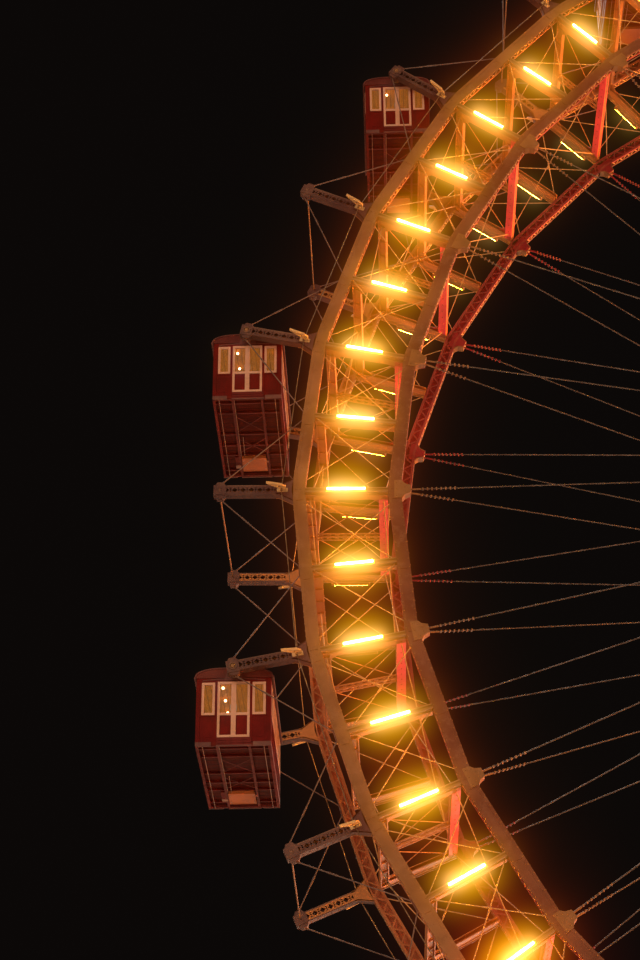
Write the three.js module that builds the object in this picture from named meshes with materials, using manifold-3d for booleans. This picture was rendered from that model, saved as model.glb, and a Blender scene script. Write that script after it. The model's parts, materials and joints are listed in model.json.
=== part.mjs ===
// A riveted iron ferris wheel with fifteen level cabins, at half size, in millimetres, +Z up.
// The wheel turns about the Y axis. The origin is on the ground, below the hub.
import * as THREE from 'three';
import { ConvexGeometry } from 'three/addons/geometries/ConvexGeometry.js';
import { mergeVertices } from 'three/addons/utils/BufferGeometryUtils.js';
import Module from 'manifold-3d';

const wasm = await Module();
wasm.setup();

// Scale: one metre of the full-size wheel is 500 mm of this half-size model.
const METRE = 500;
const SEAT_GAP = 0.3;
const FLATNESS = 0.02;

// Wheel layout
const HUB_HEIGHT = 34.27 * METRE;
const ARM_COUNT = 30;
const ARM_STEP = 360 / ARM_COUNT;
const REST_TURN = -1.25;
const CABIN_COUNT = 15;
const FIRST_CABIN_ARM = 1;

// Near and far rings, each a plane truss of two thirty-sided chords with radial posts
const RING_PLANE_Y = 3.05 * METRE;
const RING_THICKNESS = 0.3 * METRE;
const OUTER_CHORD_RADIUS = 27.91 * METRE;
const INNER_CHORD_RADIUS = 24.78 * METRE;
const CHORD_DEPTH = 0.42 * METRE;
const POST_WIDTH = 0.16 * METRE;

// Arms that carry the cabins, outside the outer chords
const PIVOT_RADIUS = 30.48 * METRE;
const ARM_END = 0.2 * METRE;
const ARM_WIDTH = 0.34 * METRE;
const ARM_FOOT_WIDTH = 0.84 * METRE;
const ARM_FOOT_HEIGHT = 0.42 * METRE;
const PIN_RADIUS = 0.07 * METRE;
const PIN_SIDES = 6;
const PIN_CLEARANCE = 0.5;
const PIN_OVERHANG = 0.05 * METRE;

// Gussets on the inner chords, where the spoke cables are made fast
const GUSSET_RADIUS = 24.25 * METRE;
const GUSSET_FOOT_WIDTH = 0.66 * METRE;
const GUSSET_TIP_WIDTH = 0.28 * METRE;

// Frames that hold the two rings apart
const TRANSOM_DEPTH = 0.3 * METRE;
const TRANSOM_WIDTH = 0.16 * METRE;
const CENTRE_BEAM_DEPTH = 0.24 * METRE;
const BRACE_WIDTH = 0.06 * METRE;
const BRACE_INSET = 0.15 * METRE;

// Axle, hub discs and spoke cables
const AXLE_LENGTH = 10.87 * METRE;
const AXLE_RADIUS = 0.25 * METRE;
const HUB_DISC_Y = 4.5 * METRE;
const HUB_DISC_RADIUS = 0.9 * METRE;
const HUB_DISC_THICKNESS = 0.3 * METRE;
const COLLAR_THICKNESS = 0.15 * METRE;
const CABLE_WIDTH = 0.05 * METRE;
const CABLE_OFFSET = 0.07 * METRE;

// Drive rope, a many-sided loop round each ring, laid on the arms
const ROPE_RADIUS = 28.46 * METRE;
const ROPE_WIDTH = 0.06 * METRE;

// Cabins, measured from their pivot
const CABIN_HALF_WIDTH = 1.17 * METRE;
const CABIN_HALF_LENGTH = 2.6 * METRE;
const CABIN_BASE = -2.42 * METRE;
const CABIN_FLOOR = -2.15 * METRE;
const CABIN_FLOOR_THICKNESS = 0.1 * METRE;
const CABIN_EAVES = -0.14 * METRE;
const CABIN_CROWN = 0.2 * METRE;
const ROOF_OVERHANG = 0.05 * METRE;
const WALL_THICKNESS = 0.07 * METRE;
const FRAME_WIDTH = 0.14 * METRE;
const WINDOW_SILL = -1.37 * METRE;
const WINDOW_HEAD = -0.29 * METRE;
const END_WINDOW_CENTRE = 0.785 * METRE;
const END_WINDOW_WIDTH = 0.42 * METRE;
const DOOR_GLASS_WIDTH = 0.96 * METRE;
const SIDE_WINDOW_PAIRS = 3;
const SIDE_WINDOW_STEP = 1.66 * METRE;
const SIDE_WINDOW_WIDTH = 1.42 * METRE;
const LOCKER = { x: [-0.42, 0.42], y: [1.25, 2.1], depth: 0.2 };

// Towers: four lattice legs on each side, under a head that carries the axle bearing
const LEG_TOP = 33.0 * METRE;
const HEAD_HEIGHT = 0.55 * METRE;
const HEAD_HALF_WIDTH = 1.45 * METRE;
const HEAD_INNER_Y = 4.85 * METRE;
const HEAD_OUTER_Y = 6.95 * METRE;
const BEARING_INNER_Y = 4.95 * METRE;
const BEARING_OUTER_Y = 5.38 * METRE;
const BEARING_HALF_WIDTH = 0.62 * METRE;
const BEARING_CROWN = 0.5 * METRE;
const BEARING_SIDES = 16;
const BEARING_CLEARANCE = 0.5;
const INNER_LEG = { foot: [9.5, 5.25], top: [0.78, 5.25] };
const OUTER_LEG = { foot: [12.5, 11.0], top: [0.78, 6.4] };
const LEG_WIDTH_AT_FOOT = 1.5 * METRE;
const LEG_WIDTH_AT_TOP = 0.78 * METRE;
const LEG_DEPTH = 0.8 * METRE;
const LEG_RAIL = 0.15 * METRE;
const LEG_PLATE = 0.12 * METRE;
const LEG_LACINGS = 9;
const LEG_DIAPHRAGMS = 3;
const FOOT_SIZE = 2.0 * METRE;
const FOOT_HEIGHT = 0.5 * METRE;

// Finishes
const rimIron = new THREE.MeshStandardMaterial({ color: 0x8f6b50, roughness: 0.55, metalness: 0.3 });
const crossIron = new THREE.MeshStandardMaterial({ color: 0xa0492c, roughness: 0.55, metalness: 0.3 });
const towerIron = new THREE.MeshStandardMaterial({ color: 0x7b5a46, roughness: 0.6, metalness: 0.3 });
const steel = new THREE.MeshStandardMaterial({ color: 0x6d675f, roughness: 0.4, metalness: 0.9 });
const cableSteel = new THREE.MeshStandardMaterial({ color: 0x8c8378, roughness: 0.45, metalness: 0.8 });
const ropeYellow = new THREE.MeshStandardMaterial({ color: 0xc9a869, roughness: 0.6, metalness: 0.1 });
const cabinRed = new THREE.MeshStandardMaterial({ color: 0x7d1a14, roughness: 0.45, metalness: 0.1 });
const roofRed = new THREE.MeshStandardMaterial({ color: 0x6b201b, roughness: 0.55, metalness: 0.1 });

const wheel = new THREE.Group();
wheel.name = 'ferris_wheel';

// Solids

function toSolid(geometry) {
  const bare = geometry.clone();
  bare.deleteAttribute('normal');
  bare.deleteAttribute('uv');
  const merged = mergeVertices(bare, 1e-3);
  const vertProperties = new Float32Array(merged.attributes.position.array);
  const triVerts = new Uint32Array(dropFlatTriangles(merged.index.array));
  return new wasm.Manifold(new wasm.Mesh({ numProp: 3, vertProperties, triVerts }));
}

function dropFlatTriangles(index) {
  const kept = [];
  for (let i = 0; i < index.length; i += 3) {
    const [a, b, c] = [index[i], index[i + 1], index[i + 2]];
    if (a !== b && b !== c && c !== a) kept.push(a, b, c);
  }
  return kept;
}

function toGeometry(solid) {
  const { vertProperties, triVerts } = solid.getMesh();
  const geometry = new THREE.BufferGeometry();
  geometry.setAttribute('position', new THREE.BufferAttribute(vertProperties, 3));
  geometry.setIndex(new THREE.BufferAttribute(triVerts, 1));
  return geometry;
}

function join(geometries) {
  return geometries.map(toSolid).reduce((whole, piece) => whole.add(piece));
}

function addMesh(name, solid, material, position = [0, 0, 0]) {
  const mesh = new THREE.Mesh(toGeometry(solid), material);
  mesh.name = name;
  mesh.position.set(...position);
  wheel.add(mesh);
  return mesh;
}

function box(x, y, z) {
  const geometry = new THREE.BoxGeometry(x[1] - x[0], y[1] - y[0], z[1] - z[0]);
  return geometry.translate((x[0] + x[1]) / 2, (y[0] + y[1]) / 2, (z[0] + z[1]) / 2);
}

// A flat plate in the wheel's plane: its outline is drawn in x and z, and it is as thick as y says.
function wheelPlate(outline, holes, y) {
  const shape = new THREE.Shape(outline);
  shape.holes = holes.map((points) => new THREE.Path(points));
  const plate = new THREE.ExtrudeGeometry(shape, { depth: y[1] - y[0], bevelEnabled: false });
  return plate.rotateX(Math.PI / 2).translate(0, y[1], 0);
}

// Places on the wheel, with the hub at the origin. Whole arm numbers are arms, and halves lie midway.

const armAngle = (arm) => THREE.MathUtils.degToRad(180 + REST_TURN + ARM_STEP * arm);
const HALF_STEP = THREE.MathUtils.degToRad(ARM_STEP / 2);
const arms = Array.from({ length: ARM_COUNT }, (_, arm) => arm);

function onArm(arm, along, across = 0) {
  const angle = armAngle(arm);
  const [c, s] = [Math.cos(angle), Math.sin(angle)];
  return new THREE.Vector2(along * c - across * s, along * s + across * c);
}

// A chord's side is straight from arm to arm. This is a point on it, beside an arm or midway.
function onChord(arm, radius, across) {
  const midway = !Number.isInteger(arm);
  const along = midway ? radius * Math.cos(HALF_STEP) : radius - Math.abs(across) * Math.tan(HALF_STEP);
  return onArm(arm, along, across);
}

function inSpace(point, y) {
  return new THREE.Vector3(point.x, y, point.y);
}

// Rings

function armOutline(arm) {
  const edge = OUTER_CHORD_RADIUS + CHORD_DEPTH / 2;
  const [foot, half] = [ARM_FOOT_WIDTH / 2, ARM_WIDTH / 2];
  const [shoulder, end] = [edge + ARM_FOOT_HEIGHT, PIVOT_RADIUS + ARM_END];
  return [
    onChord(arm, edge, -foot), onArm(arm, shoulder, -half), onArm(arm, end, -half),
    onArm(arm, end, half), onArm(arm, shoulder, half), onChord(arm, edge, foot),
  ];
}

function gussetOutline(arm) {
  const edge = INNER_CHORD_RADIUS - CHORD_DEPTH / 2;
  const [foot, tip] = [GUSSET_FOOT_WIDTH / 2, GUSSET_TIP_WIDTH / 2];
  return [
    onChord(arm, edge, -foot), onArm(arm, GUSSET_RADIUS, -tip),
    onArm(arm, GUSSET_RADIUS, tip), onChord(arm, edge, foot),
  ];
}

function bayHole(from, to) {
  const under = OUTER_CHORD_RADIUS - CHORD_DEPTH / 2;
  const over = INNER_CHORD_RADIUS + CHORD_DEPTH / 2;
  const half = POST_WIDTH / 2;
  return [onChord(from, under, half), onChord(to, under, -half), onChord(to, over, -half), onChord(from, over, half)];
}

// A square hole that stands upright at rest, so that two corners of the cabin's pin lie close to its sides
function pinHole(arm) {
  const half = PIN_RADIUS + PIN_CLEARANCE;
  const pivot = onArm(arm, PIVOT_RADIUS);
  const corners = [[-half, -half], [-half, half], [half, half], [half, -half]];
  return corners.map(([x, z]) => new THREE.Vector2(pivot.x + x, pivot.y + z));
}

const cabinArms = Array.from({ length: CABIN_COUNT }, (_, n) => FIRST_CABIN_ARM + (n * ARM_COUNT) / CABIN_COUNT);

function ringPlate(side) {
  const outline = arms.flatMap(armOutline);
  const bore = arms.flatMap(gussetOutline);
  const bays = arms.flatMap((arm) => [bayHole(arm, arm + 0.5), bayHole(arm + 0.5, arm + 1)]);
  const y = [RING_PLANE_Y - RING_THICKNESS / 2, RING_PLANE_Y + RING_THICKNESS / 2];
  return wheelPlate(outline, [bore, ...bays, ...cabinArms.map(pinHole)], onSide(side, y));
}

// The low and high y of a piece that lies between two distances from the middle plane, near or far.
function onSide(side, [inner, outer]) {
  return side < 0 ? [-outer, -inner] : [inner, outer];
}

// Frames across the wheel. At an arm a transom beside each chord and a beam in the middle plane, midway the outer transom alone

function crossFrame(arm) {
  const midway = !Number.isInteger(arm);
  const reach = RING_PLANE_Y - RING_THICKNESS / 2 - SEAT_GAP;
  const half = CENTRE_BEAM_DEPTH / 2;
  const drawnIn = midway ? Math.cos(HALF_STEP) : 1;
  const low = INNER_CHORD_RADIUS + CHORD_DEPTH / 2;
  const high = (OUTER_CHORD_RADIUS - CHORD_DEPTH / 2) * drawnIn;
  const [lowTop, highFoot] = [low + TRANSOM_DEPTH, high - TRANSOM_DEPTH];
  const outerTransom = [[highFoot, -reach], [high, -reach], [high, reach], [highFoot, reach]];
  const wholeFrame = [
    [low, -reach], [lowTop, -reach], [lowTop, -half], [highFoot, -half], [highFoot, -reach], [high, -reach],
    [high, reach], [highFoot, reach], [highFoot, half], [lowTop, half], [lowTop, reach], [low, reach],
  ];
  const outline = (midway ? outerTransom : wholeFrame).map(([radius, y]) => new THREE.Vector2(radius, y));
  const frame = new THREE.ExtrudeGeometry(new THREE.Shape(outline.reverse()), { depth: TRANSOM_WIDTH, bevelEnabled: false });
  frame.translate(0, 0, -TRANSOM_WIDTH / 2);
  const outward = inSpace(onArm(arm, 1), 0);
  const axis = new THREE.Vector3(0, 1, 0);
  return frame.applyMatrix4(new THREE.Matrix4().makeBasis(outward, axis, outward.clone().cross(axis)));
}

// Diagonal braces from arm to arm, through the inner and through the outer transoms, from side to side and back
function crossBraces(arm) {
  const reach = RING_PLANE_Y - RING_THICKNESS / 2 - BRACE_INSET;
  const y = arm % 2 === 0 ? reach : -reach;
  const inset = (CHORD_DEPTH + TRANSOM_DEPTH) / 2;
  return [INNER_CHORD_RADIUS + inset, OUTER_CHORD_RADIUS - inset].map((radius) => {
    const from = inSpace(onArm(arm, radius), -y);
    const to = inSpace(onArm(arm + 1, radius), y);
    return bar(from, to, BRACE_WIDTH);
  });
}

function bar(from, to, width) {
  const length = from.distanceTo(to);
  const geometry = new THREE.BoxGeometry(width, width, length);
  const turn = new THREE.Matrix4().lookAt(to, from, new THREE.Vector3(0, 1, 0));
  const middle = from.clone().add(to).multiplyScalar(0.5);
  return geometry.applyMatrix4(turn).translate(middle.x, middle.y, middle.z);
}

// Axle and spokes

function axle() {
  const [end, disc] = [AXLE_LENGTH / 2, HUB_DISC_THICKNESS / 2];
  const [near, far] = [HUB_DISC_Y - disc, HUB_DISC_Y + disc];
  const half = [[AXLE_RADIUS, near], [HUB_DISC_RADIUS, near], [HUB_DISC_RADIUS, far], [AXLE_RADIUS, far], [AXLE_RADIUS, end], [0, end]];
  const mirrored = half.map(([radius, y]) => [radius, -y]).reverse();
  const profile = [...mirrored, ...half].map(([radius, y]) => new THREE.Vector2(radius, y));
  return toSolid(new THREE.LatheGeometry(profile, BEARING_SIDES));
}

function collar(side) {
  const inner = (HUB_DISC_RADIUS + SEAT_GAP) / Math.cos(Math.PI / ARM_COUNT);
  const outer = inner + COLLAR_THICKNESS;
  const half = HUB_DISC_THICKNESS / 2;
  const profile = [[inner, -half], [outer, -half], [outer, half], [inner, half], [inner, -half]];
  const ring = new THREE.LatheGeometry(profile.map(([radius, y]) => new THREE.Vector2(radius, y)), ARM_COUNT);
  return ring.rotateY(-armAngle(0)).translate(0, side * HUB_DISC_Y, 0);
}

// A cable with three sides. Both its ends are cut square to its arm, so that it meets its gusset flat.
function cable(arm, [ringY, ringAcross], [hubY, hubAcross]) {
  const height = CABLE_WIDTH * Math.cos(Math.PI / 6);
  const corners = [[-CABLE_WIDTH / 2, -height / 2], [CABLE_WIDTH / 2, -height / 2], [0, height / 2]];
  const section = (along, across, y) => corners.map(([a, b]) => inSpace(onArm(arm, along, across + a), y + b));
  const inCollar = HUB_DISC_RADIUS + COLLAR_THICKNESS / 2;
  return new ConvexGeometry([
    ...section(GUSSET_RADIUS - SEAT_GAP, ringAcross, ringY),
    ...section(inCollar, hubAcross, hubY),
  ]);
}

// Each gusset holds one cable to its own side's hub disc and one that crosses to the other disc.
function spokes(side) {
  const hubY = side * HUB_DISC_Y;
  const across = side * CABLE_OFFSET;
  const own = arms.map((arm) => cable(arm, [side * RING_PLANE_Y, across], [hubY, -across]));
  const crossing = arms.map((arm) => cable(arm, [-side * RING_PLANE_Y, across], [hubY, across]));
  return join([collar(side), ...own, ...crossing]);
}

// The drive rope lies flat against the arms' outer faces.

function faceOfRing(side, thickness) {
  const face = RING_PLANE_Y + RING_THICKNESS / 2 + SEAT_GAP;
  return onSide(side, [face, face + thickness]);
}

function driveRope(side) {
  const loop = (radius) => arms.map((arm) => onArm(arm, radius));
  const half = ROPE_WIDTH / 2;
  return wheelPlate(loop(ROPE_RADIUS + half), [loop(ROPE_RADIUS - half)], faceOfRing(side, ROPE_WIDTH));
}

// Cabins, with the pivot at the origin

function cabinBody() {
  const [w, l, t] = [CABIN_HALF_WIDTH, CABIN_HALF_LENGTH, WALL_THICKNESS];
  const [top, through] = [CABIN_EAVES - SEAT_GAP, 2 * WALL_THICKNESS];
  const shell = toSolid(box([-w, w], [-l, l], [CABIN_BASE, top]));
  const room = box([t - w, w - t], [t - l, l - t], [CABIN_FLOOR, top + through]);
  const f = FRAME_WIDTH;
  const underside = box([f - w, w - f], [f - l, l - f], [CABIN_BASE - f, CABIN_FLOOR - CABIN_FLOOR_THICKNESS]);
  const windows = [];
  const height = [WINDOW_SILL, WINDOW_HEAD];
  const pair = (SIDE_WINDOW_PAIRS - 1) / 2;
  for (const side of [-1, 1]) {
    const endWall = [side * l - through, side * l + through];
    const sideWall = [side * w - through, side * w + through];
    windows.push(box([-DOOR_GLASS_WIDTH / 2, DOOR_GLASS_WIDTH / 2], endWall, height));
    for (const x of [-END_WINDOW_CENTRE, END_WINDOW_CENTRE]) {
      windows.push(box([x - END_WINDOW_WIDTH / 2, x + END_WINDOW_WIDTH / 2], endWall, height));
    }
    for (let n = -pair; n <= pair; n += 1) {
      const y = n * SIDE_WINDOW_STEP;
      windows.push(box(sideWall, [y - SIDE_WINDOW_WIDTH / 2, y + SIDE_WINDOW_WIDTH / 2], height));
    }
  }
  const hollow = [room, underside, ...windows].map(toSolid).reduce((body, cut) => body.subtract(cut), shell);
  const floorUnderside = CABIN_FLOOR - CABIN_FLOOR_THICKNESS;
  const [x, y] = [LOCKER.x, LOCKER.y].map((range) => range.map((value) => value * METRE));
  const locker = box(x, y, [floorUnderside - LOCKER.depth * METRE, CABIN_FLOOR - CABIN_FLOOR_THICKNESS / 2]);
  return hollow.add(toSolid(locker));
}

function cabinRoof() {
  const w = CABIN_HALF_WIDTH + ROOF_OVERHANG;
  const half = [[1, 0], [1, 0.34], [0.86, 0.66], [0.5, 0.9], [0, 1]];
  const rise = CABIN_CROWN - CABIN_EAVES;
  const right = half.map(([across, up]) => new THREE.Vector2(across * w, CABIN_EAVES + up * rise));
  const left = right.slice(0, -1).map(({ x, y }) => new THREE.Vector2(-x, y)).reverse();
  const length = CABIN_HALF_LENGTH + ROOF_OVERHANG;
  const vault = wheelPlate([...right, ...left], [], [-length, length]);
  const pinHalf = RING_PLANE_Y + RING_THICKNESS / 2 + PIN_OVERHANG;
  const pin = new THREE.CylinderGeometry(PIN_RADIUS, PIN_RADIUS, 2 * pinHalf, PIN_SIDES);
  return join([vault, pin]);
}

// Towers

// A leg is two laced side plates, tied by diaphragms, that stand on a square foot and end under the head.
// It is joined and trimmed along its own axes, where its faces are exact, and then leant into its place.
function towerLeg({ foot, top }, sideX, sideY) {
  const at = ([x, y], z) => new THREE.Vector3(sideX * x * METRE, sideY * y * METRE, z);
  const [base, head] = [at(foot, 0), at(top, LEG_TOP)];
  const up = head.clone().sub(base);
  const length = up.length();
  up.normalize();
  const across = new THREE.Vector3(1, 0, 0).addScaledVector(up, -up.x).normalize();
  const lean = new THREE.Matrix4().makeBasis(across, up, across.clone().cross(up)).setPosition(base);
  const upright = lean.clone().invert();
  const plates = [-1, 1].map((side) => lacedPlate(length, side));
  const middle = LEG_DEPTH / 2;
  for (let n = 1; n <= LEG_DIAPHRAGMS; n += 1) {
    const along = (n * length) / (LEG_DIAPHRAGMS + 1);
    const half = legWidth(along / length) / 2 - LEG_RAIL / 2;
    plates.push(box([-half, half], [along, along + LEG_PLATE], [LEG_PLATE / 2 - middle, middle - LEG_PLATE / 2]));
  }
  const reach = 3 * LEG_WIDTH_AT_FOOT;
  const span = (a, b) => [Math.min(a, b) - reach, Math.max(a, b) + reach];
  const room = box(span(base.x, head.x), span(base.y, head.y), [FOOT_HEIGHT / 2, LEG_TOP - SEAT_GAP]);
  const half = FOOT_SIZE / 2;
  const footBlock = box([base.x - half, base.x + half], [base.y - half, base.y + half], [0, FOOT_HEIGHT]);
  const leg = join(plates).intersect(toSolid(room.applyMatrix4(upright)));
  return leg.add(toSolid(footBlock.applyMatrix4(upright))).simplify(FLATNESS).transform(lean.elements);
}

const legWidth = (share) => THREE.MathUtils.lerp(LEG_WIDTH_AT_FOOT, LEG_WIDTH_AT_TOP, share);

function lacedPlate(length, side) {
  const pitch = length / LEG_LACINGS;
  const halfAt = (along) => legWidth(along / length) / 2;
  const [low, high] = [-pitch, length + pitch];
  const corners = [[-1, low], [1, low], [1, high], [-1, high]];
  const outline = corners.map(([hand, along]) => new THREE.Vector2(hand * halfAt(along), along));
  const holes = [];
  for (let n = 0; n < LEG_LACINGS; n += 1) {
    const hand = n % 2 === 0 ? 1 : -1;
    const [start, end, middle] = [(n - 0.5) * pitch + LEG_RAIL, (n + 1.5) * pitch - LEG_RAIL, (n + 0.5) * pitch];
    const rail = (along) => hand * (halfAt(along) - LEG_RAIL);
    holes.push([new THREE.Vector2(rail(start), start), new THREE.Vector2(rail(end), end), new THREE.Vector2(-rail(middle), middle)]);
  }
  const shape = new THREE.Shape(outline);
  shape.holes = holes.map((points) => new THREE.Path(points));
  const plate = new THREE.ExtrudeGeometry(shape, { depth: LEG_PLATE, bevelEnabled: false });
  return plate.translate(0, 0, side * (LEG_DEPTH / 2) - LEG_PLATE / 2);
}

// The head ties the four legs of one side and carries the block that the axle turns in.
function towerHead(side) {
  const top = LEG_TOP + HEAD_HEIGHT;
  const deck = box([-HEAD_HALF_WIDTH, HEAD_HALF_WIDTH], onSide(side, [HEAD_INNER_Y, HEAD_OUTER_Y]), [LEG_TOP, top]);
  const [w, sunk] = [BEARING_HALF_WIDTH, top - HEAD_HEIGHT / 2];
  const crown = HUB_HEIGHT + BEARING_CROWN;
  const outline = [[-w, sunk], [w, sunk], [w, HUB_HEIGHT], [w / 2, crown], [-w / 2, crown], [-w, HUB_HEIGHT]];
  const radius = (AXLE_RADIUS + BEARING_CLEARANCE) / Math.cos(Math.PI / BEARING_SIDES);
  const bore = Array.from({ length: BEARING_SIDES }, (_, n) => {
    const angle = (2 * Math.PI * (n + 0.5)) / BEARING_SIDES;
    return new THREE.Vector2(radius * Math.cos(angle), HUB_HEIGHT + radius * Math.sin(angle));
  });
  const block = wheelPlate(outline.map(([x, z]) => new THREE.Vector2(x, z)), [bore], onSide(side, [BEARING_INNER_Y, BEARING_OUTER_Y]));
  return join([deck, block]);
}

// Assembly

const hub = [0, 0, HUB_HEIGHT];
const sides = [['near', -1], ['far', 1]];

for (const [name, side] of sides) {
  addMesh(`${name}_ring`, toSolid(ringPlate(side)), rimIron, hub);
  addMesh(`${name}_spokes`, spokes(side), cableSteel, hub);
  addMesh(`${name}_drive_rope`, toSolid(driveRope(side)), ropeYellow, hub);
  addMesh(`${name}_tower_head`, towerHead(side), towerIron);
  for (const [hand, sideX] of [['left', -1], ['right', 1]]) {
    addMesh(`${name}_${hand}_inner_leg`, towerLeg(INNER_LEG, sideX, side), towerIron);
    addMesh(`${name}_${hand}_outer_leg`, towerLeg(OUTER_LEG, sideX, side), towerIron);
  }
}
const posts = arms.flatMap((arm) => [arm, arm + 0.5]);
addMesh('cross_frames', join([...posts.map(crossFrame), ...arms.flatMap(crossBraces)]), crossIron, hub);
addMesh('axle', axle(), steel, hub);

const body = cabinBody();
const roof = cabinRoof();
cabinArms.forEach((arm, n) => {
  const pivot = onArm(arm, PIVOT_RADIUS);
  const place = [pivot.x, 0, HUB_HEIGHT + pivot.y];
  const number = String(n + 1).padStart(2, '0');
  addMesh(`cabin_${number}_body`, body, cabinRed, place);
  addMesh(`cabin_${number}_roof`, roof, roofRed, place);
});

wheel.updateMatrixWorld(true);

export default wheel;
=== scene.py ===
"""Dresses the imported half-size ferris wheel: riveted rings, laced arms and posts, cables, lamps, cabins and towers.

Lengths in this file are those of the full-size wheel, in metres. SCALE brings them to the model's size in make_piece.
"""
import json
import math
from functools import partial

import bpy
import numpy as np
from mathutils import Matrix, Vector


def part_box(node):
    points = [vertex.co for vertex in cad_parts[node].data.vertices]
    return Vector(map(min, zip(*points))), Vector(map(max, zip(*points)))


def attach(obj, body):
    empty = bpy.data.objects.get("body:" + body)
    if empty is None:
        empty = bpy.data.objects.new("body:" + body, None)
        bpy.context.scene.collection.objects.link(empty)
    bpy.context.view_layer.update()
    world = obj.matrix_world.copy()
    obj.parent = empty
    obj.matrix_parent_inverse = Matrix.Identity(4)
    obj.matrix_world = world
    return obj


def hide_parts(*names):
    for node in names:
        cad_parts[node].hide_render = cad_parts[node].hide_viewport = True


bl_info = {
    "name": "Ferris Wheel Dressing",
    "version": (1, 0, 0),
    "blender": (4, 5, 0),
    "location": "3D View > Sidebar > Ferris Wheel",
    "description": "Builds the visible pieces of a half-size riveted iron ferris wheel around its packed frame",
    "category": "Add Mesh",
}

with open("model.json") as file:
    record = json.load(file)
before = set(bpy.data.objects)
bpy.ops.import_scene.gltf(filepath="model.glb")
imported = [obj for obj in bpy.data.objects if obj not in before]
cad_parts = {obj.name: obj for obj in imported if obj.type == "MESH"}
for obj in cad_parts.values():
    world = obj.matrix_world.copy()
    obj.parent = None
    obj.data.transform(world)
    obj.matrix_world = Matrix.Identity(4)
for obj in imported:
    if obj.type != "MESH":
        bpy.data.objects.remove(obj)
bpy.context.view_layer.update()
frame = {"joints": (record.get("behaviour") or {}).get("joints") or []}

# Layout, read from the frame
SCALE = 0.5
JOINTS = {joint["name"]: np.array(joint["pos_m"]) for joint in frame["joints"]}
HUB = JOINTS["wheel_spin"]
HUB_HEIGHT = HUB[2] / SCALE
CABINS = [f"cabin_{number:02d}" for number in range(1, 16)]
ARM_COUNT = 30
ARM_STEP = 2 * math.pi / ARM_COUNT
HALF_BAY, HALF_SLOPE = math.cos(ARM_STEP / 2), math.tan(ARM_STEP / 2)
FIRST_PIVOT = JOINTS["cabin_01_pivot"] - HUB
ARM_ZERO = math.atan2(FIRST_PIVOT[2], FIRST_PIVOT[0]) - ARM_STEP
PIVOT_RADIUS = math.hypot(FIRST_PIVOT[0], FIRST_PIVOT[2]) / SCALE
RING_BACK, RING_FACE = sorted(abs(corner[1]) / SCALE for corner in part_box("near_ring"))
RING_MIDDLE, RING_DEPTH = (RING_BACK + RING_FACE) / 2, RING_FACE - RING_BACK
SIDES = {"near": -1, "far": 1}
HANDS = (-1, 1)

# Arm numbers: whole ones are arms, and halves lie midway
ARMS = np.arange(ARM_COUNT, dtype=float)
POSTS = np.arange(2 * ARM_COUNT) / 2
MIDWAYS = ARMS + 0.5
CABIN_ARMS, BARE_ARMS = ARMS[1::2], ARMS[::2]

# Rings: radii of the two chords' middles and edges, where an arm meets them, and outlines as (outward, to the face)
OUTER_CHORD, INNER_CHORD = 27.91, 24.78
OUTER_TOP, OUTER_FOOT = 28.12, 27.70
INNER_TOP, INNER_FOOT = 24.99, 24.57
CHORD_CHANNEL = [(0.21, 0.225), (0.21, 0.3), (0.11, 0.3), (0.11, 0.285), (-0.11, 0.285), (-0.11, 0.3), (-0.21, 0.3),
                 (-0.21, 0.225), (-0.185, 0.225), (-0.185, 0.26), (0.185, 0.26), (0.185, 0.225)]
CHORD_LINING = [(-0.18, 0.252), (0.18, 0.252), (0.18, 0.256), (-0.18, 0.256)]
CHORD_ANGLE = [(0.0, 0.0), (0.085, 0.0), (0.085, 0.02), (0.02, 0.02), (0.02, 0.075), (0.0, 0.075)]
JOINT_STEP = 0.0659
LACE = 0.012
PLATE = 0.03
POST_EDGE = 0.06
ROD_SPREAD = 0.45
ARM_HALF, ARM_SHOULDER, ARM_FOOT_HALF = 0.17, 28.54, 0.42
BLOCK_FOOT, BLOCK_END, BLOCK_HALF = 30.26, 30.68, 0.2
PIN_HOLE = 0.085
GUSSET_TIP, GUSSET_FOOT_HALF, GUSSET_TIP_HALF = 24.25, 0.33, 0.14
GUIDE_FOOT = 28.30
ROPE_RADIUS = 28.46
LAMP_DEPTH = {-1: 3.25, 1: 3.46}
TRANSOM_DEEP, TRANSOM_WIDE = 0.30, 0.16
I_BEAM = [(-0.5, -0.5), (0.5, -0.5), (0.5, -0.38), (0.12, -0.38), (0.12, 0.38), (0.5, 0.38),
          (0.5, 0.5), (-0.5, 0.5), (-0.5, 0.38), (-0.12, 0.38), (-0.12, -0.38), (-0.5, -0.38)]

# Hub and towers
DISC_Y, DISC_RADIUS, COLLAR_RADIUS = 4.5, 0.9, 1.05
CABLE_OFFSET = 0.07
AXLE_RADIUS, AXLE_HALF = 0.25, 10.87 / 2
LEG_TOP, HEAD_TOP = 33.0, 33.55
LEG_WIDTHS, LEG_DEPTH, LEG_PANELS = (1.5, 0.78), 0.8, 24
LEGS = {"inner": ((9.5, 5.25), (0.78, 5.25)), "outer": ((12.5, 11.0), (0.78, 6.4))}

# Cabins, from the pivot
CABIN_WIDTH, CABIN_END = 1.17, -2.6
BASE, FLOOR, EAVES, CROWN = -2.42, -2.15, -0.14, 0.2
SILL, HEAD = -1.37, -0.29
WALL = 0.07
DOOR_HALF = 0.505
PANE_START, PANE_END = 0.585, 1.0
SIDE_WINDOWS = (-2.03, -1.29, -0.37, 0.37, 1.29, 2.03)

X, Y, Z = np.eye(3)
SQUARE = np.array([(-0.5, -0.5), (0.5, -0.5), (0.5, 0.5), (-0.5, 0.5)])
CUBE = np.array([[(0, 0, end), (1, 0, end), (1, 1, end), (0, 1, end)] for end in (0, 1)])


# Properties: the sizes and colours that a user would change

def length(name, description, default):
    return bpy.props.FloatProperty(name=name, description=description, default=default, min=0.0, unit="LENGTH")


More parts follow.
